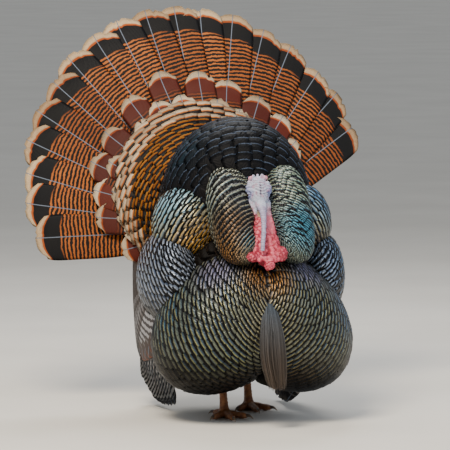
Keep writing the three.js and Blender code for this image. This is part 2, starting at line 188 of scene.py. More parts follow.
def panel_light(name, azimuth, elevation, distance, size, power, colour):
    """A square soft light that faces the bird."""
    light = bpy.data.lights.new(name, "AREA")
    light.size = size
    light.energy = power
    light.color = linear(colour)[:3]
    lamp = bpy.data.objects.new(name, light)
    turn, rise = math.radians(azimuth), math.radians(elevation)
    out = Vector((math.sin(turn) * math.cos(rise), -math.cos(turn) * math.cos(rise), math.sin(rise)))
    lamp.location = Vector(BIRD) + Vector((0, 0, 0.35)) + out * distance
    lamp.rotation_euler = out.to_track_quat("Z", "Y").to_euler()
    bpy.context.scene.collection.objects.link(lamp)


panel_light("key_light", -34, 50, 2.6, 0.9, 96, "FFF2DE")
panel_light("fill_light", 55, 25, 3.0, 1.6, 24, "E6F0FF")
panel_light("rim_light", 165, 50, 2.6, 1.0, 36, "FFFFFF")
print("camera lens", round(lens.lens, 1), "mm")

# %% [markdown]
# ## The hulls
#
# A strutting tom is a set of puffed lobes: breast halves, ruffs beside the neck, shoulders, wing
# coverts, a dark mantle raised over the back, and the belly. Each is close to an egg. The same
# eggs shape the skin below and carry the feathers above, so the two can never drift apart.

# %% Eggs of the body
def egg(at, half, paired=False, foot=(0, 0), square=2.0, aside=0):
    """A lobe in millimetres: foot slides its lower end out and forwards, aside moves a pair left."""
    shape = {"at": np.array(at), "half": np.array(half), "square": square}
    return {**shape, "paired": paired, "foot": foot, "aside": np.array([aside, 0, 0])}


LOBES = {
    "belly": egg([0, 40, 238], [165, 186, 155]),
    "rump": egg([0, 126, 338], [116, 84, 96]),
    "mantle": egg([-2, 35, 395], [142, 128, 163]),
    "breast": egg([43, -85, 191], [138, 140, 139], paired=True, foot=(45, 0)),
    "ruff": egg([52, -100, 388], [44, 62, 88], paired=True, foot=(0, 60), square=2.6, aside=10),
    "shoulder": egg([107, -2, 360], [64, 86, 77], paired=True),
    "wing_coverts": egg([138, 4, 262], [58, 112, 92], paired=True),
    "left_thigh": egg([39, 80, 104], [40, 52, 42]),
    "right_thigh": egg([-46, 7, 104], [40, 52, 42]),
}
COAT_DEPTH = 15 * MM


def placed_lobes():
    """Every egg once for each side it is on: name, side and lobe."""
    for name, lobe in LOBES.items():
        for side in ((1, -1) if lobe["paired"] else (1,)):
            yield name, side, lobe


def on_lobe(lobe, side, ball, sunk=0.0):
    """Points of a lobe's surface for points of a unit ball, sunk below it by a depth."""
    girth = (np.abs(ball) ** lobe["square"]).sum(axis=1) ** (1 / lobe["square"])
    even = ball / girth[:, None]
    slide = even[:, 2:] * np.array([[-side * lobe["foot"][0], lobe["foot"][1], 0]]) * MM
    return (lobe["at"] * [side, 1, 1] + lobe["aside"]) * MM + even * (lobe["half"] * MM - sunk) + slide


def depth_in(points, lobe, side):
    """How deep points lie in a lobe: 0 at its centre, 1 on its surface."""
    gap = points / MM - lobe["at"] * [side, 1, 1] - lobe["aside"]
    gap = gap - gap[:, 2:] / lobe["half"][2] * np.array([[-side * lobe["foot"][0], lobe["foot"][1], 0]])
    return (np.abs(gap / lobe["half"]) ** lobe["square"]).sum(axis=1) ** (1 / lobe["square"])


def outward_of(points, lobe, side):
    """The direction straight out of a lobe's surface."""
    small = np.eye(3) * MM
    slopes = [depth_in(points + step, lobe, side) - depth_in(points - step, lobe, side) for step in small]
    return unit(np.stack(slopes, axis=1))


def unit(vectors):
    """Vectors brought to the length of one."""
    return vectors / np.linalg.norm(vectors, axis=-1, keepdims=True)


def mesh_of(name, shape):
    """Turns a bmesh into a mesh in the frame, shaded smooth."""
    mesh = bpy.data.meshes.new(name)
    shape.to_mesh(mesh)
    shape.free()
    mesh.transform(Matrix.Translation(BIRD))
    mesh.shade_smooth()
    return mesh


def ball_template(fine):
    """Points and triangles of a unit ball: a fine one with poles for eggs, a plain one for beads."""
    shape = bmesh.new()
    if fine:
        bmesh.ops.create_uvsphere(shape, u_segments=28, v_segments=18, radius=1.0)
    else:
        bmesh.ops.create_icosphere(shape, subdivisions=2, radius=1.0)
    bmesh.ops.triangulate(shape, faces=shape.faces[:])
    points = np.array([v.co[:] for v in shape.verts])
    faces = np.array([[v.index for v in f.verts] for f in shape.faces])
    shape.free()
    return points, faces


EGG_BALL, BEAD_BALL = ball_template(True), ball_template(False)


def add_egg(crowd, at, half, turn=None):
    """Adds an egg to a crowd of balls, turned by a matrix if one is given."""
    points = EGG_BALL[0] * np.array(half)
    if turn is not None:
        points = points @ np.array(turn.to_3x3()).T
    crowd.append((points + np.array(at), EGG_BALL[1]))


def add_bead(crowd, at, radius):
    """Adds a round bead to a crowd of balls, with its radius in millimetres."""
    crowd.append((BEAD_BALL[0] * radius * MM + np.array(at), BEAD_BALL[1]))


def remeshed(name, crowd, voxel, rounds=4):
    """Melts a crowd of overlapping balls into one smooth closed mesh."""
    firsts = np.cumsum([0] + [len(points) for points, faces in crowd])
    corners = np.concatenate([faces + first for (points, faces), first in zip(crowd, firsts)])
    rough = bpy.data.meshes.new(name + "_rough")
    rough.vertices.add(int(firsts[-1]))
    rough.vertices.foreach_set("co", np.concatenate([points for points, faces in crowd]).reshape(-1))
    rough.loops.add(corners.size)
    rough.loops.foreach_set("vertex_index", corners.reshape(-1))
    rough.polygons.add(len(corners))
    rough.polygons.foreach_set("loop_start", np.arange(0, corners.size, 3))
    rough.update(calc_edges=True)
    holder = bpy.data.objects.new(name + "_rough", rough)
    bpy.context.scene.collection.objects.link(holder)
    melt = holder.modifiers.new("melt", "REMESH")
    melt.mode = "VOXEL"
    melt.voxel_size = voxel
    soften = holder.modifiers.new("soften", "SMOOTH")
    soften.factor = 0.5
    soften.iterations = rounds
    ready = holder.evaluated_get(bpy.context.evaluated_depsgraph_get())
    mesh = bpy.data.meshes.new_from_object(ready)
    mesh.name = name
    bpy.data.objects.remove(holder)
    bpy.data.meshes.remove(rough)
    return mesh


def points_of(mesh):
    """The mesh's points and their normals as arrays."""
    points, normals = np.empty(len(mesh.vertices) * 3), np.empty(len(mesh.vertices) * 3)
    mesh.vertices.foreach_get("co", points)
    mesh.vertex_normals.foreach_get("vector", normals)
    return points.reshape(-1, 3), normals.reshape(-1, 3)


def store_value(mesh, title, values):
    """Keeps one number or one colour for each point of a mesh."""
    values = np.array(values, float)
    kind, field = ("FLOAT", "value") if values.ndim == 1 else ("FLOAT_COLOR", "color")
    mesh.attributes.new(title, kind, "POINT").data.foreach_set(field, values.reshape(-1))


# %% [markdown]
# ## Feathers
#
# A body feather is a thin, slightly cupped vane. The template is a grid whose two faces share
# their rim, so it is a closed lens of a few dozen faces. It is copied thousands of times with
# arrays: each copy gets its own root, direction, length, width and bend. The vane's own UV map
# is in real size, across the shaft and back from the tip, so a dark tip band has the same depth
# on a short feather as on a long one.

# %% Feather template
def vane_template(across, along):
    """Points (u -0.5..0.5, v 0..1, face -1..1) and faces of a closed lens-shaped vane."""
    shape = bmesh.new()
    bmesh.ops.create_grid(shape, x_segments=across, y_segments=along, size=0.5)
    under = bmesh.ops.duplicate(shape, geom=shape.faces[:])["geom"]
    under_faces = [g for g in under if isinstance(g, bmesh.types.BMFace)]
    bmesh.ops.reverse_faces(shape, faces=under_faces)
    under_points = {v for f in under_faces for v in f.verts}
    for point in shape.verts:
        inside = min(0.5 - abs(point.co.x), 0.5 - abs(point.co.y))
        if inside > 1e-4:
            point.co.z = -1.0 if point in under_points else 1.0
    bmesh.ops.remove_doubles(shape, verts=shape.verts[:], dist=1e-5)
    shape.verts.index_update()
    points = np.array([v.co[:] for v in shape.verts])
    points[:, 1] += 0.5
    faces = np.array([[v.index for v in f.verts] for f in shape.faces])
    shape.free()
    return points, faces


def plumage_mesh(name, faces, points, vane_uv, bake_uv, tints):
    """One mesh of many vanes that share a template's faces. points is (feathers, points, 3)."""
    count, size = points.shape[:2]
    corners = (faces[None] + (np.arange(count) * size)[:, None, None]).reshape(-1)
    mesh = bpy.data.meshes.new(name)
    mesh.vertices.add(count * size)
    mesh.vertices.foreach_set("co", (points + BIRD).reshape(-1))
    mesh.loops.add(len(corners))
    mesh.loops.foreach_set("vertex_index", corners)
    mesh.polygons.add(count * len(faces))
    mesh.polygons.foreach_set("loop_start", np.arange(0, len(corners), 4))
    mesh.update(calc_edges=True)
    for title, values in (("OFBake", bake_uv), ("vane", vane_uv)):
        layer = mesh.uv_layers.new(name=title)
        layer.uv.foreach_set("vector", values.reshape(-1, 2)[corners].reshape(-1))
    for title, values in tints.items():
        store_value(mesh, title, np.repeat(values, size, axis=0))
    mesh.shade_smooth()
    mesh.validate()
    return mesh


BODY_VANE = vane_template(4, 5)
BAKE_PATCH = 0.003
VANE_HALF_THICKNESS = 0.28 * MM
print("a body feather has", len(BODY_VANE[1]), "faces")


def bake_patches(spots):
    """A small square of the bake map round each feather's root, one row for each feather."""
    u, v, _ = BODY_VANE[0].T
    return spots[:, None] + BAKE_PATCH * np.stack([u, v - 0.5], axis=1)[None]


def body_vanes(root, ahead, normal, length, width, bend, tilt, cup, skew):
    """Places the body vane at each root. All arrays have one row for each feather."""
    u, v, face = BODY_VANE[0].T
    side = unit(np.cross(ahead, normal))
    waist = 0.42 + 0.58 * np.sin(np.pi * np.clip(v * 0.72 + 0.02, 0, 0.5))  # narrow root, full end
    corner = 1 - 0.07 * (2 * np.abs(u)) ** 3 * v ** 3  # the end is square with its corners worn off
    along = length[:, None] * (v * corner)[None]
    across = width[:, None] * (u * waist)[None]
    from_middle = along - 0.55 * length[:, None]
    rise = along * np.tan(tilt)[:, None] - from_middle ** 2 / (2 * bend)[:, None]
    rise -= across ** 2 * cup[:, None]
    rise += across * skew[:, None]
    thick = VANE_HALF_THICKNESS * face
    points = root[:, None] + ahead[:, None] * along[..., None] + side[:, None] * across[..., None]
    points += normal[:, None] * (rise + thick)[..., None]
    vane_uv = np.stack([across * 10, (length[:, None] - along / corner) * 10], axis=-1)
    return points, vane_uv


def turned(ahead, normal, angle):
    """Turns each direction about its normal."""
    side = np.cross(ahead, normal)
    return unit(ahead * np.cos(angle)[:, None] + side * np.sin(angle)[:, None])


# %% [markdown]
# The plumage runs away from the neck on every lobe. On each egg the feathers stand in rings
# round a pole that faces the neck, like roof tiles: each ring's tips lie over the roots of the
# next. Rings get wider apart, and feathers larger, the further they are from the neck. Where one
# lobe dives under another its feathers stop, which leaves the dark creases of a real strut.

# %% Rows of feathers on an egg
DULL_AND_SHADED_NEAR_GROUND = ((60, 155), (0.22, 1.0))  # colours darken towards the ground, partly duller plumage and partly painted shade under the body: heights in mm, strengths
OVERLAP = 3.3  # a feather is this many times as long as the part of it that shows
ROOT_BACK, TIP_AHEAD = 0.55, 0.35  # how far root and tip are from the feather's place, in lengths
ROOT_SUNK = 0.82  # the share of a feather's tilt by which its root goes down under the hull
BAND_EXPOSURE = 9  # mm of showing vane at which the bands have their stated depth


def blended(points, ground, patches):
    """Colours at points: a ground colour, and patches (centre in mm, reach in mm, hex) over it."""
    colour = np.tile(np.array(linear(ground)), (len(points), 1))
    for centre, reach, shade in patches:
        distance = np.linalg.norm(points - np.array(centre) * MM, axis=1) / (reach * MM)
        weight = np.exp(-distance ** 3)[:, None]
        colour = colour * (1 - weight) + np.array(linear(shade)) * weight
    # Painted shade, with duller plumage: every colour darkens the nearer it lies to the ground.
    colour[:, :3] *= np.interp(points[:, 2] / MM, *DULL_AND_SHADED_NEAR_GROUND)[:, None]
    return colour


def noise_at(places, scale):
    """Soft noise at each of many places."""
    return np.array([noise.noise(Vector(p) * scale) for p in places])


def interchanged(first, second, points):
    """Lets two tints trade places in soft clouds, as films of slightly different depth do."""
    clouds = noise_at(points, 34)
    share = np.clip(0.16 + 0.55 * clouds + random.normal(0, 0.16, len(points)), 0, 0.75)[:, None]
    return first * (1 - share) + second * share, second * (1 - share) + first * share


def mottled(colour, points, amount):
    """Varies the strength of colours in soft clouds and from feather to feather."""
    clouds = noise_at(points, 22)
    strength = 1 + amount * (1.1 * clouds + random.normal(0, 0.35, len(points)))
    colour = colour.copy()
    colour[:, :3] *= np.clip(strength, 0.4, 1.5)[:, None]
    return colour


def ring_roots(lobe, pole, reach, step, width, growth):
    """Feather places on a lobe, in rings round a pole: points of a unit ball, headings and sizes."""
    mean = float(lobe["half"].mean()) * MM
    first = unit(np.cross(pole, [0.12, 0.35, 0.93]))
    second = np.cross(pole, first)
    rows = {"ball": [], "heading": [], "share": [], "turn": [], "around": []}
    turn, last = np.radians(reach)
    start, ring = turn, 0
    while turn < last:
        share = ((turn - start) / (last - start)) ** growth
        spacing = (width[0] + (width[1] - width[0]) * share) * MM * 0.80
        count = max(5, round(2 * math.pi * math.sin(turn) * mean / spacing))
        place = (np.arange(count) + 0.5 * (ring % 2) + random.normal(0, 0.06, count)) / count
        around = place * 2 * math.pi
        spin = np.cos(around)[:, None] * first + np.sin(around)[:, None] * second
        wander = turn + random.normal(0, 0.05, count) * step[0] * MM / mean
        sine, cosine = np.sin(wander)[:, None], np.cos(wander)[:, None]
        rows["ball"].append(cosine * pole + sine * spin)
        rows["heading"].append(cosine * spin - sine * pole)
        rows["share"].append(np.full(count, share))
        rows["turn"].append(wander)
        rows["around"].append(around)
        turn += (step[0] + (step[1] - step[0]) * share) * MM / mean
        ring += 1
    return {key: np.concatenate(parts) for key, parts in rows.items()}


def bake_spots(turn, around, tile):
    """Unwraps a lobe from its pole like a peel, into its own tile of the bake map (left, foot, side)."""
    flat = np.stack([np.cos(around), np.sin(around)], axis=1) * (turn / math.pi)[:, None]
    return np.array(tile[:2]) + tile[2] * (0.5 + 0.47 * flat)


def lobe_coat(name, pole, reach, step, width, tilt=11, loose=2.5, ragged=0.0, tuck=0.10,
              tiles=((0, 0, 1.0), (0, 0, 1.0)), own_cup=0.5, growth=1.0):
    """Feathers of one lobe on each side that it is on, as arrays ready for plumage_mesh.

    Reach is in degrees from the pole. Step and width are those of the first ring and the last, in
    mm. Tilt, loose and ragged are degrees: how feathers lift, scatter, and lift at the worn end."""
    lobe = LOBES[name]
    mean = float(lobe["half"].mean()) * MM
    parts = []
    for side, tile in zip((1, -1) if lobe["paired"] else (1,), tiles):
        roots = ring_roots(lobe, unit(np.array(pole) * [side, 1, 1]), reach, step, width, growth)
        share = roots["share"]
        hull = on_lobe(lobe, side, roots["ball"])
        normal = outward_of(hull, lobe, side)
        ahead = unit(on_lobe(lobe, side, unit(roots["ball"] + 0.02 * roots["heading"])) - hull)
        ahead = unit(ahead - normal * (ahead * normal).sum(axis=1, keepdims=True))
        count = len(share)
        exposure = step[0] + (step[1] - step[0]) * share
        long = exposure * MM * OVERLAP * random.uniform(0.92, 1.10, count)
        wide = (width[0] + (width[1] - width[0]) * share) * MM * random.uniform(0.90, 1.12, count)
        lifted = ragged * share ** 2 * random.uniform(0, 1, count)
        lean = np.radians(tilt + lifted + random.normal(0, 0.6, count))
        sink = long * np.tan(lean) * ROOT_SUNK
        root = hull - normal * sink[:, None] - ahead * (long * ROOT_BACK)[:, None]
        tip = hull + ahead * (long * TIP_AHEAD)[:, None]
        keep = np.ones(count, bool)
        for other, other_side, other_lobe in placed_lobes():
            if (other, other_side) != (name, side):
                keep &= depth_in(hull, other_lobe, other_side) > 1 - tuck
        for at, reach_mm in BARE_PLACES:
            keep &= np.linalg.norm((tip - at * MM) / (reach_mm * MM), axis=1) > 1
        if name in ("breast", "ruff"):
            keep &= (hull[:, 0] - lobe["aside"][0] * MM) * side > -2 * MM
        ahead = turned(ahead, normal, np.radians(random.normal(0, loose, count) * (0.5 + share)))
        bend = np.full(count, mean)
        cup = own_cup / mean * random.uniform(0.9, 1.15, count)
        skew = random.normal(0.05, 0.012, count)
        points, vane_uv = body_vanes(root, ahead, normal, long, wide, bend, lean, cup, skew)
        bake = bake_patches(bake_spots(roots["turn"], roots["around"], tile))
        vane_uv[..., 1] *= ((BAND_EXPOSURE / exposure) ** 0.8)[:, None]  # larger feathers, deeper bands
        sheens, glows = interchanged(*(blended(hull, *tint) for tint in TINTS[name]), hull)
        tints = {"sheen": mottled(sheens, hull, 0.30), "glow": mottled(glows, hull, 0.25)}
        tints["own"] = random.uniform(0, 1, count)
        parts.append((points[keep], vane_uv[keep], bake[keep], {k: t[keep] for k, t in tints.items()}))
    return parts


def joined_coat(name, parts, material, replaces=()):
    """Joins the arrays of several tracts into one finished piece."""
    points, vane_uv, bake_uv = (np.concatenate([p[i] for p in parts]) for i in range(3))
    tints = {key: np.concatenate([p[3][key] for p in parts]) for key in parts[0][3]}
    mesh = plumage_mesh(name, BODY_VANE[1], points, vane_uv, bake_uv, tints)
    print(name, len(points), "feathers")
    return finished(name, mesh, material, replaces)


# The head, throat and big caruncles stay bare: centre and half-sizes in millimetres.
BARE_PLACES = [
    (np.array([0, -126, 420]), np.array([24, 40, 42])),
    (np.array([0, -160, 352]), np.array([27, 34, 48])),
    (np.array([0, -188, 312]), np.array([34, 24, 24])),
]


# %% [markdown]
# The body plumage has three finishes. The iridescent contour feather ends in a velvet-black
# band with a bronze line behind it, and its colour above that is a thin-film sheen: a partly
# metallic surface with a coloured base gives that cold glint in soft light. The mantle's
# feathers are nearly black with a thin slate edge. Belly feathers are matt brown with soft tips.

# %% Finishes of the body plumage
def barbs(tree, shader, sideways, back, slope, closeness, shades, relief):
    """Fine barbs slanting off the shaft: they dent the surface, and return a shade to multiply by."""
    slanted = add(tree, "Math", "MULTIPLY_ADD", [sideways, slope, back])
    rows = add(tree, "Math", "MULTIPLY", [slanted, 2 * math.pi * closeness])
    ripple = add(tree, "Math", "SINE", [rows])
    dents = add(tree, "Bump", {}, {"Height": ripple, "Strength": relief, "Distance": 0.6 * MM})
    tree.links.new(dents, shader.inputs["Normal"])
    return add(tree, "MapRange", {}, [ripple, -1, 1, *shades])


def feather_finish(name, stops, sheen_at, edge, fade, metal, rough, gloss=0.5):
    """A contour feather: bands back from the tip, a sheen between them and fine barbs.

    Sheen_at, edge and fade are stretches in decimetres back from the tip: from glow to sheen, from
    the tip band to colour, and from colour to the dark vane further back, which is partly its plain
    base and partly painted shade cast by the row above. Gloss fades below 200 mm, where the vanes
    are downy and worn."""
    material, tree, shader = new_finish(name, Metallic=metal, Roughness=rough)
    vane = add(tree, "UVMap", {"uv_map": "vane"})
    across = add(tree, "SeparateXYZ", {}, [vane])
    back = across.node.outputs[1]
    place = add(tree, "TexCoord", out=3)
    ragged = add(tree, "TexNoise", {}, {"Vector": place, "Scale": 420.0, "Detail": 2.0})
    shift = add(tree, "Math", "MULTIPLY_ADD", [ragged, 0.016, -0.008])
    own = add(tree, "Attribute", {"attribute_name": "own"}, out=2)
    spread = add(tree, "Math", "MULTIPLY_ADD", [own, 0.008, -0.004])
    uneven = add(tree, "Math", "ADD", [shift, spread])
    from_tip = add(tree, "Math", "ADD", [back, uneven])
    bands = add(tree, "ValToRGB", {"stops": stops}, {"Fac": from_tip})
    sheen = add(tree, "Attribute", {"attribute_name": "sheen"})
    glow = add(tree, "Attribute", {"attribute_name": "glow"})
    glow_share = add(tree, "MapRange", {}, [from_tip, *sheen_at])
    tint = add(tree, "Mix", BLEND, {0: glow_share, 6: glow, 7: sheen}, 2)
    shown = add(tree, "MapRange", {}, [from_tip, *edge])
    # Painted shade: beyond the fade the colour gives way to the dark vane, partly its plain base and
    # partly the shade cast by the row above.
    fade_into_row_shade = add(tree, "MapRange", {}, [from_tip, fade[1], fade[0]])
    lit = add(tree, "Math", "MULTIPLY", [shown, fade_into_row_shade])
    colour = add(tree, "Mix", BLEND, {0: lit, 6: bands, 7: tint}, 2)
    sideways = add(tree, "Math", "ABSOLUTE", [across])
    streaks = barbs(tree, shader, sideways, back, 0.7, 22, (0.80, 1.12), 0.25)
    barbed = add(tree, "Mix", TINT, {0: 1.0, 6: colour, 7: streaks}, 2)
    tree.links.new(barbed, shader.inputs["Base Color"])
    height = add(tree, "SeparateXYZ", {}, [place]).node.outputs[2]
    shine = add(tree, "MapRange", {}, [height, 0.075, 0.20, gloss * 0.15, gloss])
    tree.links.new(shine, shader.inputs["Specular IOR Level"])
    return material


# Structural colour: keratin and melanin films in the barbules, glinting like oiled bronze.
iridescent_feather = feather_finish(
    "iridescent_contour_feather",
    [(0.0, "060609"), (0.03, "050508"), (0.2, "0B0B0F"), (0.5, "0F0F12")],
    sheen_at=(0.052, 0.070), edge=(0.035, 0.044), fade=(0.072, 0.105), metal=0.45, rough=0.40,
)
# Mantle feathers: dense black melanin, a slate sheen only along the squared tip.
mantle_feather = feather_finish(
    "black_mantle_feather",
    [(0.0, "5A6880"), (0.008, "3A4658"), (0.014, "050609"), (0.5, "08080B"), (1.0, "080707")],
    sheen_at=(0.03, 0.12), edge=(0.02, 0.06), fade=(0.12, 0.22), metal=0.0, rough=0.62, gloss=0.12,
)
# Belly and flank feathers: soft downy brown, no gloss.
belly_feather = feather_finish(
    "brown_belly_feather",
    [(0.0, "3B2E24"), (0.02, "120E0C"), (0.04, "0F0C0B"), (0.3, "1E1813"), (0.6, "2A231D")],
    sheen_at=(0.05, 0.12), edge=(0.04, 0.07), fade=(0.10, 0.20), metal=0.0, rough=0.66, gloss=0.12,
)
# %% [markdown]
# Each lobe's colours are its own: a bronze patch lies under the throat, lilac shoulders flank
# it, the ruffs are bronze on one side and teal on the other as the light of the films turns,
# and the belly goes dark brown. A colour is laid down as a ground and soft patches over it, once
# for the sheen of a feather and once for the glow near its tip. The skin below takes the same.

# %% Markings of the lobes: (ground, patches) of the sheen, then of the glow
# A patch is its middle in mm, its reach in mm and its colour; later ones lie over earlier ones.
TINTS = {
    "breast": (
        ("44586A", [
            ([2, -195, 276], 40, "5E421C"),  # bronze under the throat
            ([78, -150, 285], 38, "62628C"), ([-78, -150, 285], 42, "686A90"),  # lilac beside it
            ([0, -200, 190], 55, "4A4E50"),
            ([140, -110, 200], 60, "2F5C90"), ([-140, -110, 200], 60, "3F6A84"),
            ([0, -180, 80], 52, "1C1512"),  # the lower edge goes dark from here on
            ([60, -175, 68], 56, "1E1714"), ([-60, -175, 68], 56, "1E1714"),
            ([130, -125, 75], 66, "1C1614"), ([-130, -125, 75], 66, "1C1614"),
            ([90, -60, 45], 90, "16110F"), ([-90, -60, 45], 90, "16110F"),
            ([185, -45, 115], 60, "201B1E"), ([-185, -45, 110], 60, "211A18"),
        ]),
        ("7E7C54", [
            ([2, -195, 276], 44, "A46C26"),
            ([78, -150, 285], 40, "85829C"), ([-78, -150, 285], 44, "8E8CA2"),
            ([0, -200, 200], 55, "938A60"),
            ([70, -150, 130], 60, "8C7444"), ([-70, -150, 140], 60, "7C8A5C"),
            ([150, -110, 200], 60, "6884A6"),
            ([0, -180, 80], 48, "4A3826"),
            ([60, -175, 68], 54, "4C3C2A"), ([-60, -175, 68], 54, "4A3B29"),
            ([130, -125, 75], 64, "33271E"), ([-130, -125, 75], 64, "33271E"),
            ([90, -60, 45], 90, "241B15"), ([-90, -60, 45], 90, "241B15"),
            ([185, -45, 115], 60, "2E2A30"), ([-185, -45, 110], 60, "33291F"),
        ]),
    ),
    "ruff": (
        ("4E6470", [
            ([-95, -80, 440], 62, "7C9AA8"),
            ([-60, -160, 370], 46, "5C442E"), ([-66, -170, 318], 36, "6E4C22"),  # bronze on the right
            ([95, -80, 440], 62, "6F9C9C"),
            ([75, -160, 365], 50, "2C7490"), ([70, -175, 315], 34, "3C6A80"),  # teal on the left
            ([-26, -180, 345], 24, "2F7088"), ([100, -90, 330], 34, "4A3C38"),
        ]),
        ("A8A888", [
            ([-60, -160, 370], 48, "86643E"), ([-66, -170, 318], 38, "9C6A2A"),
            ([95, -80, 440], 62, "C2C698"), ([75, -160, 360], 50, "4F96AC"),
            ([-95, -80, 440], 64, "C6C2A0"), ([-60, -50, 475], 50, "CFCBB4"),
        ]),
    ),
    "shoulder": (
        ("52728A", [
            ([-150, -30, 420], 66, "7CBAD8"), ([-90, -70, 325], 56, "8E6A2C"),
            ([150, -20, 420], 72, "2F78B0"), ([110, -70, 320], 50, "544A48"),
        ]),
        ("B4B48C", [
            ([-150, -30, 425], 58, "B4DCEC"), ([-90, -70, 325], 60, "C8963C"),
            ([150, -20, 420], 70, "78AAD2"), ([110, -70, 320], 46, "6E6048"),
        ]),
    ),
    "wing_coverts": (
        ("52627E", [
            ([-190, 0, 300], 70, "66789A"), ([190, 0, 280], 90, "1C66A6"),
            ([-165, -20, 190], 50, "23252F"), ([190, 0, 185], 50, "1E426C"),
        ]),
        ("98A2B2", [
            ([-190, 0, 300], 70, "BAC4D0"), ([190, 0, 280], 90, "5C9CCC"),
            ([-165, -20, 188], 50, "40403C"), ([190, 0, 185], 50, "3C5C80"),
        ]),
    ),
    "mantle": (
        ("08080B", [([-120, 30, 500], 60, "10202C"), ([-90, -20, 430], 40, "141010")]),
        ("0B0C10", [([-120, 30, 500], 60, "1E3644")]),
    ),
    "belly": (
        ("231B16", [
            ([0, 40, 70], 90, "18120F"),
            # Painted shade: near-black where the belly dives into the crease under the breast.
            ([95, -85, 305], 70, "060506"), ([-95, -85, 305], 70, "060506"),  # deep in the crease
        ]),
        ("33281F", [
            ([0, 200, 200], 90, "5C4028"),
            # The same painted shade in the crease, for the glow.
            ([95, -85, 305], 70, "080708"), ([-95, -85, 305], 70, "080708"),
        ]),
    ),
    "rump": (
        ("2A1F18", [([0, 150, 430], 80, "4E3220")]),
        ("503824", [([0, 150, 430], 80, "7E522A")]),
    ),
    "left_thigh": (("1E1713", []), ("3A2C20", [])),
    "right_thigh": (("1E1713", []), ("3A2C20", [])),
}

# %% Coat of the breast, ruffs, shoulders and wing coverts
LEFT_TILE, RIGHT_TILE = (0.5, 0.25, 0.5), (0.0, 0.25, 0.5)
breast_coat = lobe_coat(
    "breast", (-0.58, -0.82, 0.61), (4, 156), (4.4, 17), (16, 50), ragged=12, growth=1.35,
)
joined_coat("breast_feathers_left", breast_coat[:1], iridescent_feather)
joined_coat("breast_feathers_right", breast_coat[1:], iridescent_feather)
ruff_coat = lobe_coat("ruff", (-0.80, -0.40, -0.55), (4, 178), (2.2, 9.5), (7, 30), loose=1.6, growth=1.4)
joined_coat("ruff_feathers_left", ruff_coat[:1], iridescent_feather)
joined_coat("ruff_feathers_right", ruff_coat[1:], iridescent_feather)
shoulder_coat = lobe_coat(
    "shoulder", (-0.80, -0.35, -0.50), (8, 178), (7.0, 12.5), (20, 36), tiles=(LEFT_TILE, RIGHT_TILE),
)
joined_coat("shoulder_feathers", shoulder_coat, iridescent_feather)
wing_coat = lobe_coat(
    "wing_coverts", (-0.62, -0.55, 0.56), (8, 178), (6.5, 14), (18, 36), tiles=(LEFT_TILE, RIGHT_TILE),
)
joined_coat("wing_covert_feathers", wing_coat, iridescent_feather)

# %% Coat of the mantle, belly, rump and thighs
mantle_coat = lobe_coat(
    "mantle", (0, -1, -0.15), (8, 150), (13, 22), (28, 40), tilt=8, loose=4, own_cup=0.25,
)
joined_coat("mantle_feathers", mantle_coat, mantle_feather)
dark_coat = lobe_coat(
    "belly", (0, -0.75, 0.66), (20, 177), (14, 24), (30, 48),
    tilt=13, loose=5, ragged=6, tiles=((0, 0, 0.5),),
)
dark_coat += lobe_coat(
    "rump", (0, -0.60, -0.20), (20, 172), (12, 20), (24, 34), tilt=13, loose=5, tiles=((0.5, 0, 0.5),),
)
for name, tile in (("left_thigh", (0.5, 0.5, 0.5)), ("right_thigh", (0, 0.5, 0.5))):
    dark_coat += lobe_coat(
        name, (0, -0.2, 1), (40, 168), (9, 14), (18, 28), tilt=12, loose=5, tiles=(tile,),
    )
joined_coat("belly_feathers", dark_coat, belly_feather)


# %% [markdown]
# ## Skin
#
# One skin runs from the bald head down the neck and over the whole body, under the coat by the
# coat's own depth. It is melted together from the eggs of the lobes, the parts of the head and
# hundreds of throat beads, so that there is no seam anywhere. Its furrows are carved into the
# points themselves, and then it's thinned where it is smooth.

# %% Head's own directions
HEAD_AT = np.array([0, -126, 429]) * MM
HEAD_PITCH = math.radians(63)
ALONG = np.array([0, -math.cos(HEAD_PITCH), -math.sin(HEAD_PITCH)])
CROWN = np.array([0, -math.sin(HEAD_PITCH), math.cos(HEAD_PITCH)])
HEAD_TURN = Matrix.Rotation(HEAD_PITCH, 4, "X")


def head_point(side, along, crown):
    """A point of the head from millimetres to its side, towards the bill and out of the crown."""
    return HEAD_AT + (np.array([side, 0, 0]) + along * ALONG + crown * CROWN) * MM


def head_egg(crowd, side, along, crown, half):
    """An egg in the head's own directions: half-sizes across, along and through the crown."""
    add_egg(crowd, head_point(side, along, crown), np.array(half) * MM, HEAD_TURN)


def smooth_path(points, count):
    """Points along a smooth curve through the given ones (millimetres to metres)."""
    points = np.array(points, float) * MM
    legs = np.concatenate([[0], np.cumsum(np.linalg.norm(np.diff(points, axis=0), axis=1))])
    ends = np.concatenate([[2 * points[0] - points[1]], points, [2 * points[-1] - points[-2]]])
    out = []
    for share in np.linspace(0, 1, count):
        run = share * legs[-1]
        k = min(np.searchsorted(legs, run, side="right") - 1, len(points) - 2)
        t = (run - legs[k]) / (legs[k + 1] - legs[k])
        a, b, c, d = ends[k:k + 4]
        out.append(0.5 * (2 * b + (c - a) * t + (2 * a - 5 * b + 4 * c - d) * t ** 2
                          + (3 * b - a - 3 * c + d) * t ** 3))
    return np.array(out)


def chain(crowd, points, wide, deep, count=26):
    """A limb made of many eggs along a smooth path; wide and deep are half-sizes in mm of t."""
    path = smooth_path(points, count)
    for t, at in zip(np.linspace(0, 1, count), path):
        add_egg(crowd, at, np.array([wide(t), deep(t), max(wide(t), deep(t)) * 0.8]) * MM)


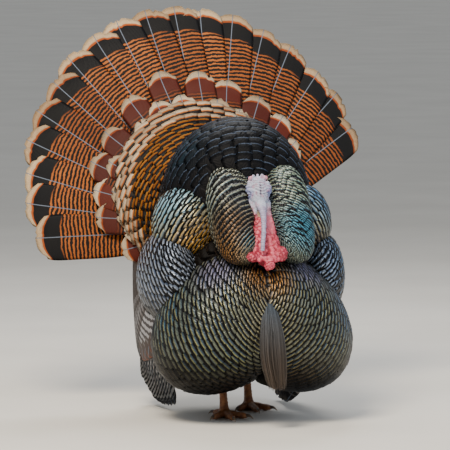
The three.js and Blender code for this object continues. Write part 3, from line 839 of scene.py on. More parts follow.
THROAT_PATH = [[0, -134, 396], [0, -158, 358], [0, -178, 328], [0, -186, 309]]
NECK_PATH = [[0, -62, 300], [0, -98, 345], [0, -114, 388], [0, -108, 430]]
SNOOD_PATH = [[0, -152, 408], [-1, -171, 390], [-5, -190, 366], [-9, -201, 348], [-12, -208, 331]]


def neck_girth(t):
    """Half-width of the neck in mm, from its root at 0 to the head at 1."""
    return 33 - 15 * t


def throat_wide(t):
    """Half-width of the throat in mm, from the bill at 0 to its foot at 1."""
    return 19.5 + 9.5 * t


def throat_deep(t):
    """Half-depth of the throat in mm at the same place."""
    return 11 + 6 * t


# %% Skin in the rough
crowd = []
for name, side, lobe in placed_lobes():
    depth = 9 * MM if "thigh" in name else COAT_DEPTH
    crowd.append((on_lobe(lobe, side, EGG_BALL[0], depth), EGG_BALL[1]))
chain(crowd, NECK_PATH, neck_girth, neck_girth)
head_egg(crowd, 0, 0, 0, (21, 31.5, 24.5))
head_egg(crowd, 0, 22, -4, (19.5, 21, 16))
for side in (-1, 1):
    head_egg(crowd, side * 13.5, -4, 10, (11.2, 12, 9.5))   # brow ridge
    head_egg(crowd, side * 14.0, 22, -6, (9.5, 17, 11))     # cheek
    head_egg(crowd, side * 11.5, 36, -14, (9.5, 14, 10))    # jowl
    head_egg(crowd, side * 12.0, 5, -14, (8, 10, 8))        # ear mound
head_egg(crowd, 0, 24, 8, (10.5, 14, 9))                    # root of the snood and the forehead
# Small caruncles on the crown.
for side, along, crown, radius in (
    (-15, -23, 15, 4.2), (14, -24, 15, 4.2), (-9, -28, 15, 3.2), (8, -29, 14, 3.2), (-18, -17, 12, 3.0),
    (18, -16, 12, 3.0), (0, -31, 12, 2.8),
):
    add_bead(crowd, head_point(side, along, crown), radius)
chain(crowd, SNOOD_PATH, lambda t: 5.4 - 1.4 * t + 5.0 * math.exp(-8 * t), lambda t: 5.6 - 1.6 * t, 40)
chain(crowd, THROAT_PATH, lambda t: throat_wide(t) * 0.86 * min(1, 3.2 - 2.6 * t),
      lambda t: throat_deep(t) * 0.84)
add_bead(crowd, head_point(0, 34, -10), 9)

# Beads of the throat: they grow larger towards the foot, where three great caruncles hang.
BEAD_ROWS, BEAD_SPAN = 17, 1.55 * math.pi  # the rows reach this far round the front of the throat
GOLDEN_TURN = 2.39996  # radians from bead to bead that spread them evenly over a ball
throat_line = smooth_path(THROAT_PATH, 40)
beads = []
for row in range(BEAD_ROWS):
    t = (row + 0.5) / BEAD_ROWS
    centre = throat_line[round(t * 39)]
    radius = 3.2 + 1.6 * t
    count = round(math.pi * (throat_wide(t) + throat_deep(t)) * 0.78 / (1.75 * radius))
    for k in range(count):
        place = (k + 0.5 * (row % 2) + random.normal(0, 0.13)) / count
        turn = (place - 0.5) * BEAD_SPAN
        smooth_patch = 0.05 < t < 0.34 and 0.28 < math.sin(turn) < 0.85 and math.cos(turn) > 0
        if smooth_patch:
            continue
        out = np.array([math.sin(turn) * throat_wide(t), -math.cos(turn) * throat_deep(t), 0])
        out += random.normal(0, 0.7, 3)
        beads.append((centre + out * 1.05 * MM, radius * random.uniform(0.72, 1.20)))
for at, half in (
    ((-26, -194, 317), (12.6, 11, 9.8)),
    ((29, -192, 321), (10.6, 11, 14.8)),
    ((2, -205, 301), (9.6, 9, 8.8)),
):
    at, half = np.array(at) * MM, np.array(half) * MM
    add_egg(crowd, at, half * 0.96)
    for k in range(34):
        height = 1 - 2 * (k + 0.5) / 34
        ring = math.sqrt(1 - height ** 2)
        turn = k * GOLDEN_TURN
        way = np.array([ring * math.cos(turn), ring * math.sin(turn), height])
        beads.append((at + way * half * 0.84, random.uniform(1.9, 3.3)))
for at, radius in (
    ((-13, -199, 312), 5.6), ((13, -200, 310), 5.0), ((-5, -201, 315), 5.2), ((15, -198, 321), 4.6),
):
    beads.append((np.array(at) * MM, radius))
for at, radius in beads:
    add_bead(crowd, at, radius)
voxel = 1.7 * MM
skin_mesh = remeshed("skin", crowd, voxel, rounds=1)
print("rough skin", len(skin_mesh.vertices))

# %% Furrows, folds and lids
points, normals = points_of(skin_mesh)
EYE_RADIUS = 6.4 * MM
EYES = {side: head_point(side * 17.2, 1, 4) for side, end in SIDES}


def head_place(points):
    """Millimetres across, along and out of the crown for points of the skin."""
    gap = (points - HEAD_AT) / MM
    return gap[:, 0], gap @ ALONG, gap @ CROWN


def ramp_to(values, low, high):
    """0 below low, 1 above high, smooth between."""
    share = np.clip((values - low) / (high - low), 0, 1)
    return share * share * (3 - 2 * share)


def near_path(points, path):
    """Distance of each point from a path, and how far along it, 0 to 1."""
    gaps = np.linalg.norm(points[:, None] - path[None], axis=2)
    best = gaps.argmin(axis=1)
    return gaps.min(axis=1), best / (len(path) - 1)


def waves_at(across, along, crown):
    """A slow noise that makes the furrows wander."""
    places = np.stack([across * 0.05, along * 0.09, crown * 0.05], axis=1)
    return noise_at(places, 1)


def frown_at(across, along, crown, wave):
    """Height in mm of the brow's furrows: they bow towards the bill, with a crease in the middle."""
    frown = ramp_to(crown, 2, 12) * ramp_to(along, -24, -14) * ramp_to(-along, -22, -8)
    bow = 0.035 * np.minimum(np.abs(across), 14) ** 2
    furrow = np.abs(np.sin((along + bow + 6.0 * wave) * math.pi / 5.2)) ** 0.6
    crease = np.exp(-((across - 1.5 * wave) / 1.2) ** 2) * ramp_to(along, -14, -6)
    return frown * (2.4 * (furrow - 0.7) - 1.8 * crease)


def rings_at(run, wave):
    """Height in mm of the close wrinkles that ring the snood."""
    return 0.5 * np.sin(run * 2 * math.pi * 24 + 2.0 * wave)


in_front = (points[:, 1] < -85 * MM) & (np.abs(points[:, 0]) < 45 * MM)
bare = np.flatnonzero(in_front & (points[:, 2] > 270 * MM))
local = points[bare]
across, along, crown = head_place(local)
snood_gap, snood_run = near_path(local, smooth_path(SNOOD_PATH, 60))
on_snood = ramp_to(-snood_gap / MM, -11, -8) * ramp_to(snood_run, 0.08, 0.2)
on_head = ramp_to(-along, -48, -34) * (1 - on_snood) * ramp_to(local[:, 2] / MM, 386, 396)
wave = waves_at(across, along, crown)
fine = noise_at(local, 330) + 0.8 * noise_at(local, 150)
move = (on_head * (frown_at(across, along, crown, wave) + 0.9 * fine)
        + on_snood * (rings_at(snood_run, wave) + 0.3 * fine)) * MM
for side, eye in EYES.items():
    gap = np.linalg.norm(local - eye, axis=1)
    outward = (local - eye)[:, 0] * side
    lid = np.exp(-((gap - EYE_RADIUS - 1.5 * MM) / (1.3 * MM)) ** 2)
    groove = np.exp(-((gap - EYE_RADIUS - 4.6 * MM) / (1.2 * MM)) ** 2)
    move += lid * 1.5 * MM - groove * 1.1 * MM
    # The socket opens round the eyeball, an almond a little longer than it is high.
    aim = (local - eye) / MM
    almond = np.sqrt((aim @ ALONG / 5.6) ** 2 + (aim @ CROWN / 4.4) ** 2)
    open_eye = ramp_to(-almond, -1.15, -0.85) * (outward > 0)
    move -= open_eye * 3.4 * MM
    # Nostril-side fold and ear opening behind and below the eye.
    ear = np.linalg.norm(local - head_point(side * 17, -9, -10), axis=1)
    move -= 2.0 * MM * np.exp(-(ear / (3.0 * MM)) ** 2)
points[bare] = local + normals[bare] * move[:, None]
skin_mesh.vertices.foreach_set("co", points.reshape(-1))

# %% Thin the skin where it is smooth
holder = bpy.data.objects.new("skin_dense", skin_mesh)
bpy.context.scene.collection.objects.link(holder)
head_group = holder.vertex_groups.new(name="bare")
head_group.add([int(i) for i in bare], 1.0, "REPLACE")
thin = holder.modifiers.new("thin", "DECIMATE")
thin.ratio = 0.14
thin.vertex_group = "bare"
thin.invert_vertex_group = True
thin.vertex_group_factor = 1.0
ready = holder.evaluated_get(bpy.context.evaluated_depsgraph_get())
skin_mesh = bpy.data.meshes.new_from_object(ready)
skin_mesh.name = "skin"
bpy.data.objects.remove(holder)
print("thinned skin", len(skin_mesh.vertices), len(skin_mesh.polygons))

# %% [markdown]
# The head is pale blue-white, bluer at its sides, and pink on the jowls and behind the crown; the
# furrows of the brow carry painted dark violet shade. The snood is a greyer violet, with painted
# shade in the grooves of its wrinkles. The throat turns blood red at once below the bill, with
# painted highlights on the tops of the beads and painted shade in the gaps between them. Under the
# coat the skin carries the same colours as the feathers over it, only darker, so nothing pale can
# show through a gap.

# %% Colours of the skin
points = points_of(skin_mesh)[0]
count = len(points)
under = np.full((count, 4), 1.0)
depth_best = np.full(count, 9.0)
for name, side, lobe in placed_lobes():
    depth = depth_in(points, lobe, side)
    nearer = depth < depth_best
    depth_best[nearer] = depth[nearer]
    sheen, glow = (blended(points[nearer], *tint) for tint in TINTS[name])
    under[nearer] = sheen * 0.35 + glow * 0.10
across, along, crown = head_place(points)
height = points[:, 2] / MM
snood_gap, snood_run = near_path(points, smooth_path(SNOOD_PATH, 60))
throat_gap = near_path(points, throat_line)[0]
front = (points[:, 1] < -80 * MM) & (np.abs(across) < 46)


def painted(colour, layers):
    """Lays hex colours over one another, each by its own amount from 0 to 1 at each point."""
    for hex_colour, amount in layers:
        colour = colour * (1 - amount[:, None]) + np.array(linear(hex_colour)) * amount[:, None]
    return colour


throat_zone = front * ramp_to(-throat_gap / MM, -46, -42) * ramp_to(-height, -402, -390) * (height > 270)
head_zone = front * ramp_to(-along, -50, -36) * ramp_to(height, 378, 392) * ramp_to(along, -40, -32)
snood_zone = front * ramp_to(-snood_gap / MM, -10.5, -8.5)
spots = noise_at(points * front[:, None], 160)
hide = painted(under, [
    ("8E1A30", throat_zone),  # deep blood red, which shows as painted shade in the gaps between beads
    ("BC3C54", throat_zone * ramp_to(spots, 0.0, 0.4) * 0.6),
    ("E07A90", throat_zone * ramp_to(height, 350, 375) * ramp_to(across, 2, 8) * 0.8),  # the smooth patch
])
# Painted light on each bead: a painted highlight makes it pale on top, and painted shade leaves it blood
# red in the gap round it.
bead_at = np.array([at for at, radius in beads])
bead_radius = np.array([radius for at, radius in beads]) * MM
wet = np.flatnonzero(throat_zone > 0.5)
gap = np.linalg.norm(points[wet][:, None] - bead_at[None], axis=2) / bead_radius[None]
nearest = gap.argmin(axis=1)
from_line = np.linalg.norm(points[wet][:, None] - throat_line[None], axis=2)
outward = unit(points[wet] - throat_line[from_line.argmin(axis=1)])
top = ((points[wet] - bead_at[nearest]) * outward).sum(axis=1) / bead_radius[nearest]
bead_highlight = np.zeros(count)
bead_highlight[wet] = ramp_to(top, 0.25, 0.95) * (gap.min(axis=1) < 1.25)
wave = waves_at(across, along, crown)
# Where the furrows of the brow sink, for the painted shade in them.
sunk = ramp_to(-frown_at(across, along, crown, wave), 0.1, 0.9)
# Painted shade in the sunk rings of the snood's wrinkles.
snood_groove_shade = ramp_to(-rings_at(snood_run, wave), 0.1, 0.5) * ramp_to(snood_run, 0.05, 0.2)
aside = np.abs(across)
hide = painted(hide, [
    # Painted highlights on the tops of the beads, palest at their crowns.
    ("CC3E56", bead_highlight),
    ("EC7888", ramp_to(bead_highlight, 0.55, 1.0) * 0.7),
    ("B4BCD2", head_zone),  # pale blue-white head
    ("8E9ACC", head_zone * ramp_to(-crown, -2, 10) * 0.8),  # bluer sides
    ("B87090", head_zone * ramp_to(spots, 0.10, 0.50) * 0.55),
    ("3A2E4A", head_zone * sunk * 0.92),  # painted shade in the furrows of the brow
    ("D98A9A", head_zone * ramp_to(along, 22, 40) * ramp_to(aside, 9, 16) * 0.8),  # pink jowls
    ("D8707E", head_zone * ramp_to(-along, 15, 24) * ramp_to(aside, 9, 14) * 0.7),  # pink crown
    ("A6A4C2", snood_zone * ramp_to(snood_run, 0.02, 0.1)),
    # Painted shade in the grooves of the snood's wrinkles.
    ("8E7E9A", snood_zone * snood_groove_shade),
])
for eye in EYES.values():
    gap = np.linalg.norm(points - eye, axis=1) / MM
    hide = painted(hide, [
        ("5E74B8", np.exp(-((gap - 11) / 4.0) ** 2) * 0.55 * front),  # blue ring round the eye
        ("3A3A52", np.exp(-((gap - 6.6) / 1.4) ** 2) * 0.8 * front),  # dark rim of the lids
    ])
store_value(skin_mesh, "hide", np.clip(hide, 0, 1))
store_value(skin_mesh, "bald", np.clip(throat_zone + head_zone + snood_zone, 0, 1))
skin_mesh.transform(Matrix.Translation(BIRD))
skin_mesh.shade_smooth()

# %% Finish of the skin
# Living skin of head and throat: thin, moist, with blood under it, pebbled by tiny papillae.
bare_skin, tree, shader = new_finish("bare_skin", Roughness=0.46)
hide_colour = add(tree, "Attribute", {"attribute_name": "hide"})
bald_share = add(tree, "Attribute", {"attribute_name": "bald"}, out=2)
place = add(tree, "TexCoord", out=3)
pores = add(tree, "TexNoise", {}, {"Vector": place, "Scale": 900.0, "Detail": 3.0})
veins = add(tree, "TexNoise", {}, {"Vector": place, "Scale": 240.0, "Detail": 4.0, "Distortion": 1.2})
vein_line = add(tree, "MapRange", {}, [veins, 0.56, 0.66])
vein_share = add(tree, "Math", "MULTIPLY", [vein_line, bald_share])
faint = add(tree, "Math", "MULTIPLY", [vein_share, 0.32])
veined = add(tree, "Mix", BLEND, {0: faint, 6: hide_colour, 7: "A8486A"}, 2)
shade = add(tree, "MapRange", {}, [pores, 0.3, 0.7, 0.82, 1.12])
pored = add(tree, "Mix", TINT, {0: 1.0, 6: veined, 7: shade}, 2)
tree.links.new(pored, shader.inputs["Base Color"])
bump = add(tree, "Bump", {}, {"Height": pores, "Strength": 0.5, "Distance": 0.8 * MM})
tree.links.new(bump, shader.inputs["Normal"])
finished("skin", skin_mesh, bare_skin, [
    "snood", "head", "throat", "neck", "caruncle_right", "caruncle_left", "caruncle_bottom",
    "mantle", "trunk", "breast_left", "breast_right", "ruff_left", "ruff_right",
    "shoulder_left", "shoulder_right", "wing_coverts_left", "wing_coverts_right",
    "thigh_left", "thigh_right",
])

# %% [markdown]
# ## Tail
#
# A tom has eighteen tail feathers. They open on a leaning plane, like cards with the middle pair
# on top, each one bent back a little. Over their roots lie the tail coverts: one row of broad
# chestnut ones with buff tips, then many narrower rows that climb the mound of the rump.

# %% The plane of the fan
FAN_PIVOT = np.array([0, 193, 334]) * MM
FAN_LEAN, FAN_ROLL = math.radians(15), math.radians(18.5)
FAN_REACH, FAN_BEND = 452 * MM, 14 * MM


def fan_point(angle, radius, depth):
    """A point of the fan: degrees from its middle, metres from its pivot, metres to the front."""
    turn = np.radians(angle) - FAN_ROLL
    bent = depth - FAN_BEND * (radius / FAN_REACH) ** 2
    up = radius * np.cos(turn)
    return np.stack([
        FAN_PIVOT[0] + radius * np.sin(turn),
        FAN_PIVOT[1] + up * math.sin(FAN_LEAN) - bent * math.cos(FAN_LEAN),
        FAN_PIVOT[2] + up * math.cos(FAN_LEAN) + bent * math.sin(FAN_LEAN),
    ], axis=-1)


def fan_reach(angle, middle, loss, roundness=1.5):
    """How far a row reaches at an angle: its reach in the middle, and the share lost at the sides."""
    return middle * (1 - loss * (np.abs(angle) / 77.3) ** roundness)


def fan_depth(angle, radius):
    """How far the mound of the coverts stands in front of the fan at a place."""
    share = np.clip(1 - radius / fan_reach(angle, 320 * MM, 0.32), 0, 1)
    return (6 + 94 * share ** 1.5) * MM


BIG_HALF_THICKNESS = 0.45 * MM


def large_vane(across, along, tip_power=2.3, notches=0, seed=0):
    """A big feather's template: points and faces, and how far the tip is rounded and worn (mm)."""
    points, faces = vane_template(across, along)
    rough = np.random.default_rng(seed)
    u = points[:, 0]
    out = (2 * np.abs(u)) ** tip_power
    columns = np.round((u + 0.5) * across).astype(int)
    wear = rough.normal(0, 0.5, across + 1)
    for _ in range(notches):
        at = rough.integers(1, across)
        wear[at] += rough.uniform(2.5, 5.5)
    return points, faces, out, wear[columns]


def vane_width(v, root, middle, tip):
    """Half-width of a big feather along its length: a narrow root, its widest part, its tip."""
    spread = root + (middle - root) * np.sin(0.5 * np.pi * np.clip(v / 0.62, 0, 1)) ** 1.3
    closing = np.clip((v - 0.86) / 0.14, 0, 1)
    return spread + (tip - middle) * closing ** 2.2


def fan_feather(angle, root, reach, half_width, depth, rank, seed, template=(14, 34), round_tip=19):
    """One big feather of the fan, in place: points, vane UV and faces. Rank stacks the feathers."""
    points, faces, out, wear = large_vane(*template, notches=2, seed=seed)
    u, v, face = points.T
    half = vane_width(v, 0.16, 1.0, 0.93) * half_width
    tip_loss = (round_tip * out + wear * np.clip((v - 0.9) / 0.1, 0, 1)) * MM
    run = root + (reach - root - tip_loss * v ** 6) * v
    side = 2 * u * half
    turn = angle + np.degrees(side / np.maximum(run, 60 * MM))
    cup = 1.98 * MM * (side / half_width) ** 2
    curl = 5 * MM * np.clip((v - 0.93) / 0.07, 0, 1) ** 2 * (0.6 + 0.4 * np.sin(9 * u + seed))
    shaft = 0.9 * MM * (1 - v) * (np.abs(side) < 2.5 * MM) * face
    thick = BIG_HALF_THICKNESS * face
    tilt = side * 0.05
    front = depth(angle, run) if callable(depth) else depth
    placed = fan_point(turn, run, front + rank - cup + curl + thick + shaft + tilt)
    vane_uv = np.stack([side * 10, (reach - root) * (1 - v) * 10], axis=1)
    return placed, vane_uv, faces


def big_plumage(name, feathers, material, replaces=(), own=None):
    """Joins big feathers with one template into one piece, each with its own UV rectangle."""
    points = np.stack([f[0] for f in feathers])
    vane_uv = np.stack([f[1] for f in feathers])
    faces = feathers[0][2]
    count = len(points)
    columns = 20
    cell = np.array([1 / columns, 1 / math.ceil(count / columns)])
    low = vane_uv.min(axis=1, keepdims=True)
    span = vane_uv.max(axis=1, keepdims=True) - low
    order = np.arange(count)
    corner = np.stack([order % columns, order // columns], axis=1)[:, None] * cell
    bake_uv = corner + (vane_uv - low) / span * cell * 0.94
    tints = {"own": random.uniform(0, 1, count) if own is None else own}
    mesh = plumage_mesh(name, faces, points, vane_uv, bake_uv, tints)
    return finished(name, mesh, material, replaces)


# %% Finish of the tail feathers
def barred_finish(name, tip, edge, band, bars, band_depths, period, bar_share=0.75, shaft="6C7686",
                  casts=("C8BCB4", "FFFFFF")):
    """Pale tip, thin warm edge, dark band, then wavy bars back to the root.

    Depths and the period are in decimetres back from the tip. Bars are the dark bar and the two
    ground colours between bars; casts are the two ends of the tint that each feather gets."""
    material, tree, shader = new_finish(name, Roughness=0.6, Specular_IOR_Level=0.25)
    vane = add(tree, "UVMap", {"uv_map": "vane"})
    own = add(tree, "Attribute", {"attribute_name": "own"}, out=2)
    apart = add(tree, "CombineXYZ", {}, {2: own})
    moved = add(tree, "VectorMath", {"operation": "MULTIPLY_ADD"}, [apart, (0.0, 0.0, 40.0), vane])
    across = add(tree, "SeparateXYZ", {}, [vane])
    back = across.node.outputs[1]
    sideways = add(tree, "Math", "ABSOLUTE", [across])
    # The barbs run out and forward from the shaft, so each bar makes a shallow V.
    slanted = add(tree, "Math", "MULTIPLY_ADD", [sideways, 0.16, back])
    slow = add(tree, "TexNoise", {}, {"Vector": moved, "Scale": 7.0, "Detail": 3.0, "Roughness": 0.7})
    waver = add(tree, "Math", "MULTIPLY_ADD", [slow, 0.09, slanted])
    far = add(tree, "Math", "MULTIPLY_ADD", [slow, 0.03, back])
    margin = add(tree, "Math", "ADD", [far, -0.015])
    turns = add(tree, "Math", "MULTIPLY", [waver, 2 * math.pi / period])
    wave = add(tree, "Math", "SINE", [turns])
    fine = add(tree, "TexNoise", {}, {"Vector": moved, "Scale": 60.0, "Detail": 2.0})
    broken = add(tree, "Math", "MULTIPLY_ADD", [fine, 1.5, -0.75])
    # Towards the vane's edge the bars break up into freckles.
    freckled = add(tree, "MapRange", {}, [sideways, 0.14, 0.34, 0.35, 1.5])
    noise_part = add(tree, "Math", "MULTIPLY", [broken, freckled])
    signal = add(tree, "Math", "ADD", [wave, noise_part])
    dark = add(tree, "MapRange", {}, [signal, bar_share - 0.75, bar_share - 0.25])
    warm = add(tree, "Mix", BLEND, {0: slow, 6: bars[1], 7: bars[2]}, 2)
    barred = add(tree, "Mix", BLEND, {0: dark, 6: bars[0], 7: warm}, 2)
    tip_end, edge_end, band_end, melt_end = band_depths
    tip_cloud = add(tree, "Mix", BLEND, {0: fine, 6: tip[0], 7: tip[1]}, 2)
    to_edge = add(tree, "MapRange", {}, [margin, tip_end - 0.02, tip_end])
    tipped = add(tree, "Mix", BLEND, {0: to_edge, 6: tip_cloud, 7: edge}, 2)
    to_band = add(tree, "MapRange", {}, [margin, edge_end - 0.012, edge_end])
    banded = add(tree, "Mix", BLEND, {0: to_band, 6: tipped, 7: band}, 2)
    to_bars = add(tree, "MapRange", {}, [margin, band_end, melt_end])
    whole = add(tree, "Mix", BLEND, {0: to_bars, 6: banded, 7: barred}, 2)
    streaks = barbs(tree, shader, sideways, back, 1.4, 26, (0.84, 1.08), 0.2)
    cast = add(tree, "Mix", BLEND, {0: own, 6: casts[0], 7: casts[1]}, 2)
    tinted = add(tree, "Mix", TINT, {0: 1.0, 6: whole, 7: cast}, 2)
    barbed = add(tree, "Mix", TINT, {0: 1.0, 6: tinted, 7: streaks}, 2)
    if shaft:
        quill = add(tree, "MapRange", {}, [sideways, 0.010, 0.006])
        barbed = add(tree, "Mix", BLEND, {0: quill, 6: barbed, 7: shaft}, 2)
    tree.links.new(barbed, shader.inputs["Base Color"])
    return material


# Tail feathers: buff worn tip, dark band, orange and black vermiculation over the rest.
tail_feather = barred_finish(
    "barred_tail_feather", tip=("E6D2B0", "A88458"), edge="B0541A", band="06060A",
    bars=("080504", "A04A14", "CC7A34"), band_depths=(0.135, 0.17, 0.46, 0.50), period=0.078,
)
# Large tail coverts: the same tip, then plain chestnut before the bars begin.
covert_feather = barred_finish(
    "chestnut_tail_covert", tip=("E8D8BC", "A08A68"), edge="A84E18", band="571B0B",
    bars=("0E0705", "6A2A10", "A85C22"), band_depths=(0.12, 0.15, 0.38, 0.52), period=0.07,
)
# Middle tail coverts: a cream rim, a thin orange line, then dark brown.
cream_covert_feather = barred_finish(
    "cream_rimmed_covert", tip=("EADCC4", "CDB08A"), edge="C0702C", band="1E1412",
    bars=("120E0E", "2A1A14", "5A3620"), band_depths=(0.065, 0.085, 0.18, 0.26), period=0.06, shaft=None,
)
# Small coverts on the mound: a golden edge, and deep teal black behind it.
small_covert_feather = barred_finish(
    "gold_edged_covert", tip=("D8A448", "B87420"), edge="A85A10", band="05080D",
    bars=("05080C", "0E2230", "2A1E12"), band_depths=(0.026, 0.040, 0.16, 0.24), period=0.09, shaft=None,
)
# Undertail coverts: chestnut-brown with a buff rim and dark cross bars, no sheen.
under_covert_feather = barred_finish(
    "brown_undertail_covert", tip=("CDAE84", "A8845C"), edge="8A5430", band="2A1C16",
    bars=("1C1410", "5A3822", "6E4A2C"), band_depths=(0.06, 0.09, 0.2, 0.3), period=0.1, shaft=None,
)

# %% Tail feathers
TAIL_FEATHERS = 18
tail = []
for k in range(TAIL_FEATHERS):
    place = (k - (TAIL_FEATHERS - 1) / 2) / ((TAIL_FEATHERS - 1) / 2)
    angle = 73.3 * (0.88 * place + 0.12 * place ** 3) + random.normal(0, 0.5)
    reach = fan_reach(angle, FAN_REACH, 0.24) + random.normal(0, 2.5) * MM
    rank = -0.55 * MM * abs(k - 8.5) - (0.3 * MM if k > 8 else 0)
    tail.append(fan_feather(angle, 24 * MM, reach, 45 * MM, 1.2 * MM, rank, seed=k, template=(16, 36)))
big_plumage("tail_feathers", tail, tail_feather, ["tail_fan"])

# %% Tail coverts
def covert_reach(angle):
    """Reach of the tail coverts at an angle of the fan, in metres."""
    return fan_reach(angle, 318 * MM, 0.33, 1.6)


# Two rows of large ones: share of the reach, number, half-width in mm, offset in feathers.
covers = []
for row, (share, count, wide, begin) in enumerate(((1.0, 13, 31, 0), (0.84, 14, 26, 0.5))):
    for k in range(count):
        angle = -80 + (k + begin) * 158 / (count - 1 + begin) + random.normal(0, 1.8)
        reach = covert_reach(angle) * share + random.normal(0, 6) * MM
        rank = (3.0 + 2.5 * row) * MM - 0.35 * MM * abs(k - count / 2)
        covers.append(fan_feather(
            angle, 100 * MM, reach, wide * MM, lambda a, r: fan_depth(a, r) * 0.9, rank,
            seed=40 + 20 * row + k, template=(12, 14), round_tip=17,
        ))
big_plumage("tail_coverts_large", covers, covert_feather, ["tail_coverts"])


def under_depth(angle, radius):
    """How far the undertail coverts stand behind the fan at a place (negative)."""
    share = np.clip(1 - radius / (215 * MM), 0, 1)
    return -(6 + 44 * share ** 1.4) * MM


def fan_rows(rows, spread, front, grow):
    """Rows of small feathers on the fan's front or back: arrays for plumage_mesh.

    A row is its share of the reach, the gap to the next, and its feathers' width and length in mm.
    Grow is how far the rows stand off the mound, negative behind the fan."""
    all_parts = []
    for row, (share, gap, wide, long) in enumerate(rows):
        arc = math.radians(2 * spread) * covert_reach(0.0) * share
        count = max(5, round(arc / (wide * 0.62 * MM)))
        place = (np.arange(count) + random.uniform(0, 0.6) + random.normal(0, 0.08, count)) / count
        angle = -spread + 2 * spread * place
        reach = covert_reach(angle) * share + random.normal(0, gap * 0.12, count) * MM
        facing = np.sign(grow)
        lift = grow + 0.35 * row * facing
        tip = fan_point(angle, reach, front(angle, reach) + lift * MM)
        below = reach - 0.45 * long * MM
        inner = fan_point(angle, below, front(angle, below) + (lift - 3.6 * facing) * MM)
        ahead = unit(tip - inner)
        outward = fan_point(angle, reach, front(angle, reach) + (lift + 5 * facing) * MM) - tip
        normal = unit(outward - ahead * (outward * ahead).sum(axis=1, keepdims=True))
        length = np.full(count, long * MM) * random.uniform(0.95, 1.05, count)
        root = tip - ahead * length[:, None]
        width = np.full(count, wide * MM) * random.uniform(0.92, 1.1, count)
        bend, lean, cup = np.full(count, 0.25), np.full(count, math.radians(2.0)), np.full(count, 3.0)
        skew = random.normal(0.05, 0.02, count)
        points, vane_uv = body_vanes(root, ahead, normal, length, width, bend, lean, cup, skew)
        turn = np.radians(angle)
        spots = 0.5 + 0.46 * share * np.stack([np.sin(turn), np.cos(turn)], axis=1)
        all_parts.append((points, vane_uv, bake_patches(spots), {"own": random.uniform(0, 1, count)}))
    return all_parts


middle_rows = [(0.80 - 0.040 * k, 8, 42 - 1.5 * k, 52) for k in range(3)]
inner_rows = [(0.685 - 0.030 * k, 8, 34 - 0.8 * k, 44) for k in range(16)]
# Behind the fan, brown undertail coverts with pale ends cover the roots of the feathers.
under_rows = [(0.66 - 0.05 * k, 12, 46 - 1.6 * k, 70) for k in range(10)]
under_coat = fan_rows(under_rows, 64, under_depth, -5.0)
joined_coat("undertail_coverts", under_coat, under_covert_feather, ["undertail_coverts"])
middle_coat = fan_rows(middle_rows, 82, fan_depth, 6.0)
joined_coat("tail_coverts_middle", middle_coat, cream_covert_feather)
inner_coat = fan_rows(inner_rows, 84, fan_depth, 6.0)
joined_coat("tail_coverts_small", inner_coat, small_covert_feather)

# %% [markdown]
# ## Wings
#
# A strutting tom drops its wings until the tips scrape the ground. The long primaries are barred
# white on slate, the secondaries over them are silver-brown with a chestnut margin. Both hang
# from the wrist as a fan of flat feathers that bows out round the body and in again at the tips.

# %% Wing feathers
WRIST_Y, WRIST_Z = -85 * MM, 268 * MM
PRIMARY_REACH = 394 * MM


def wing_point(side, angle, radius, depth):
    """A point of a drooped wing: degrees below level, metres from the wrist, metres outward."""
    t = radius / PRIMARY_REACH
    fold = np.clip((angle - 31) / 31, 0, 1)
    out = (166 + 112 * t - 152 * t * t - 32 * fold ** 1.5) * MM
    turn = np.radians(angle)
    return np.stack([
        side * (out + depth), WRIST_Y + radius * np.cos(turn), WRIST_Z - radius * np.sin(turn),
    ], axis=-1)


def wing_feather(side, angle, root, reach, half_width, depth, seed, twist=-0.05, splay=0):
    """One long feather of a drooped wing. Twist tips it edge-on, splay moves its end in or out."""
    points, faces, out, wear = large_vane(12, 30, tip_power=2.2, notches=1, seed=seed)
    u, v, face = points.T
    half = vane_width(v, 0.25, 1.0, 0.62) * half_width
    side_run = 2 * u * half
    pointed = (14 * out + wear * np.clip((v - 0.9) / 0.1, 0, 1)) * MM
    run = root + (reach - root - pointed * v ** 6) * v
    turn = angle + np.degrees(side_run / np.maximum(run, 70 * MM))
    cup = 1.6 * MM * (side_run / half_width) ** 2
    sag = twist * side_run * v
    apart = -splay * MM * v ** 1.6
    placed = wing_point(side, turn, run, depth - cup + sag + apart + BIG_HALF_THICKNESS * face)
    vane_uv = np.stack([side_run * 10, (reach - root) * (1 - v) * 10], axis=1)
    return placed, vane_uv, faces if side > 0 else faces[:, ::-1]


# Primaries: white bars on slate, worn brown at the tip.
primary_feather = barred_finish(
    "barred_primary_feather", tip=("6A625C", "4A443F"), edge="3A3634", band="2A2A32",
    bars=("10121A", "C8CCD4", "F0EEE8"), band_depths=(0.04, 0.06, 0.14, 0.2), period=0.15, bar_share=0.55,
)
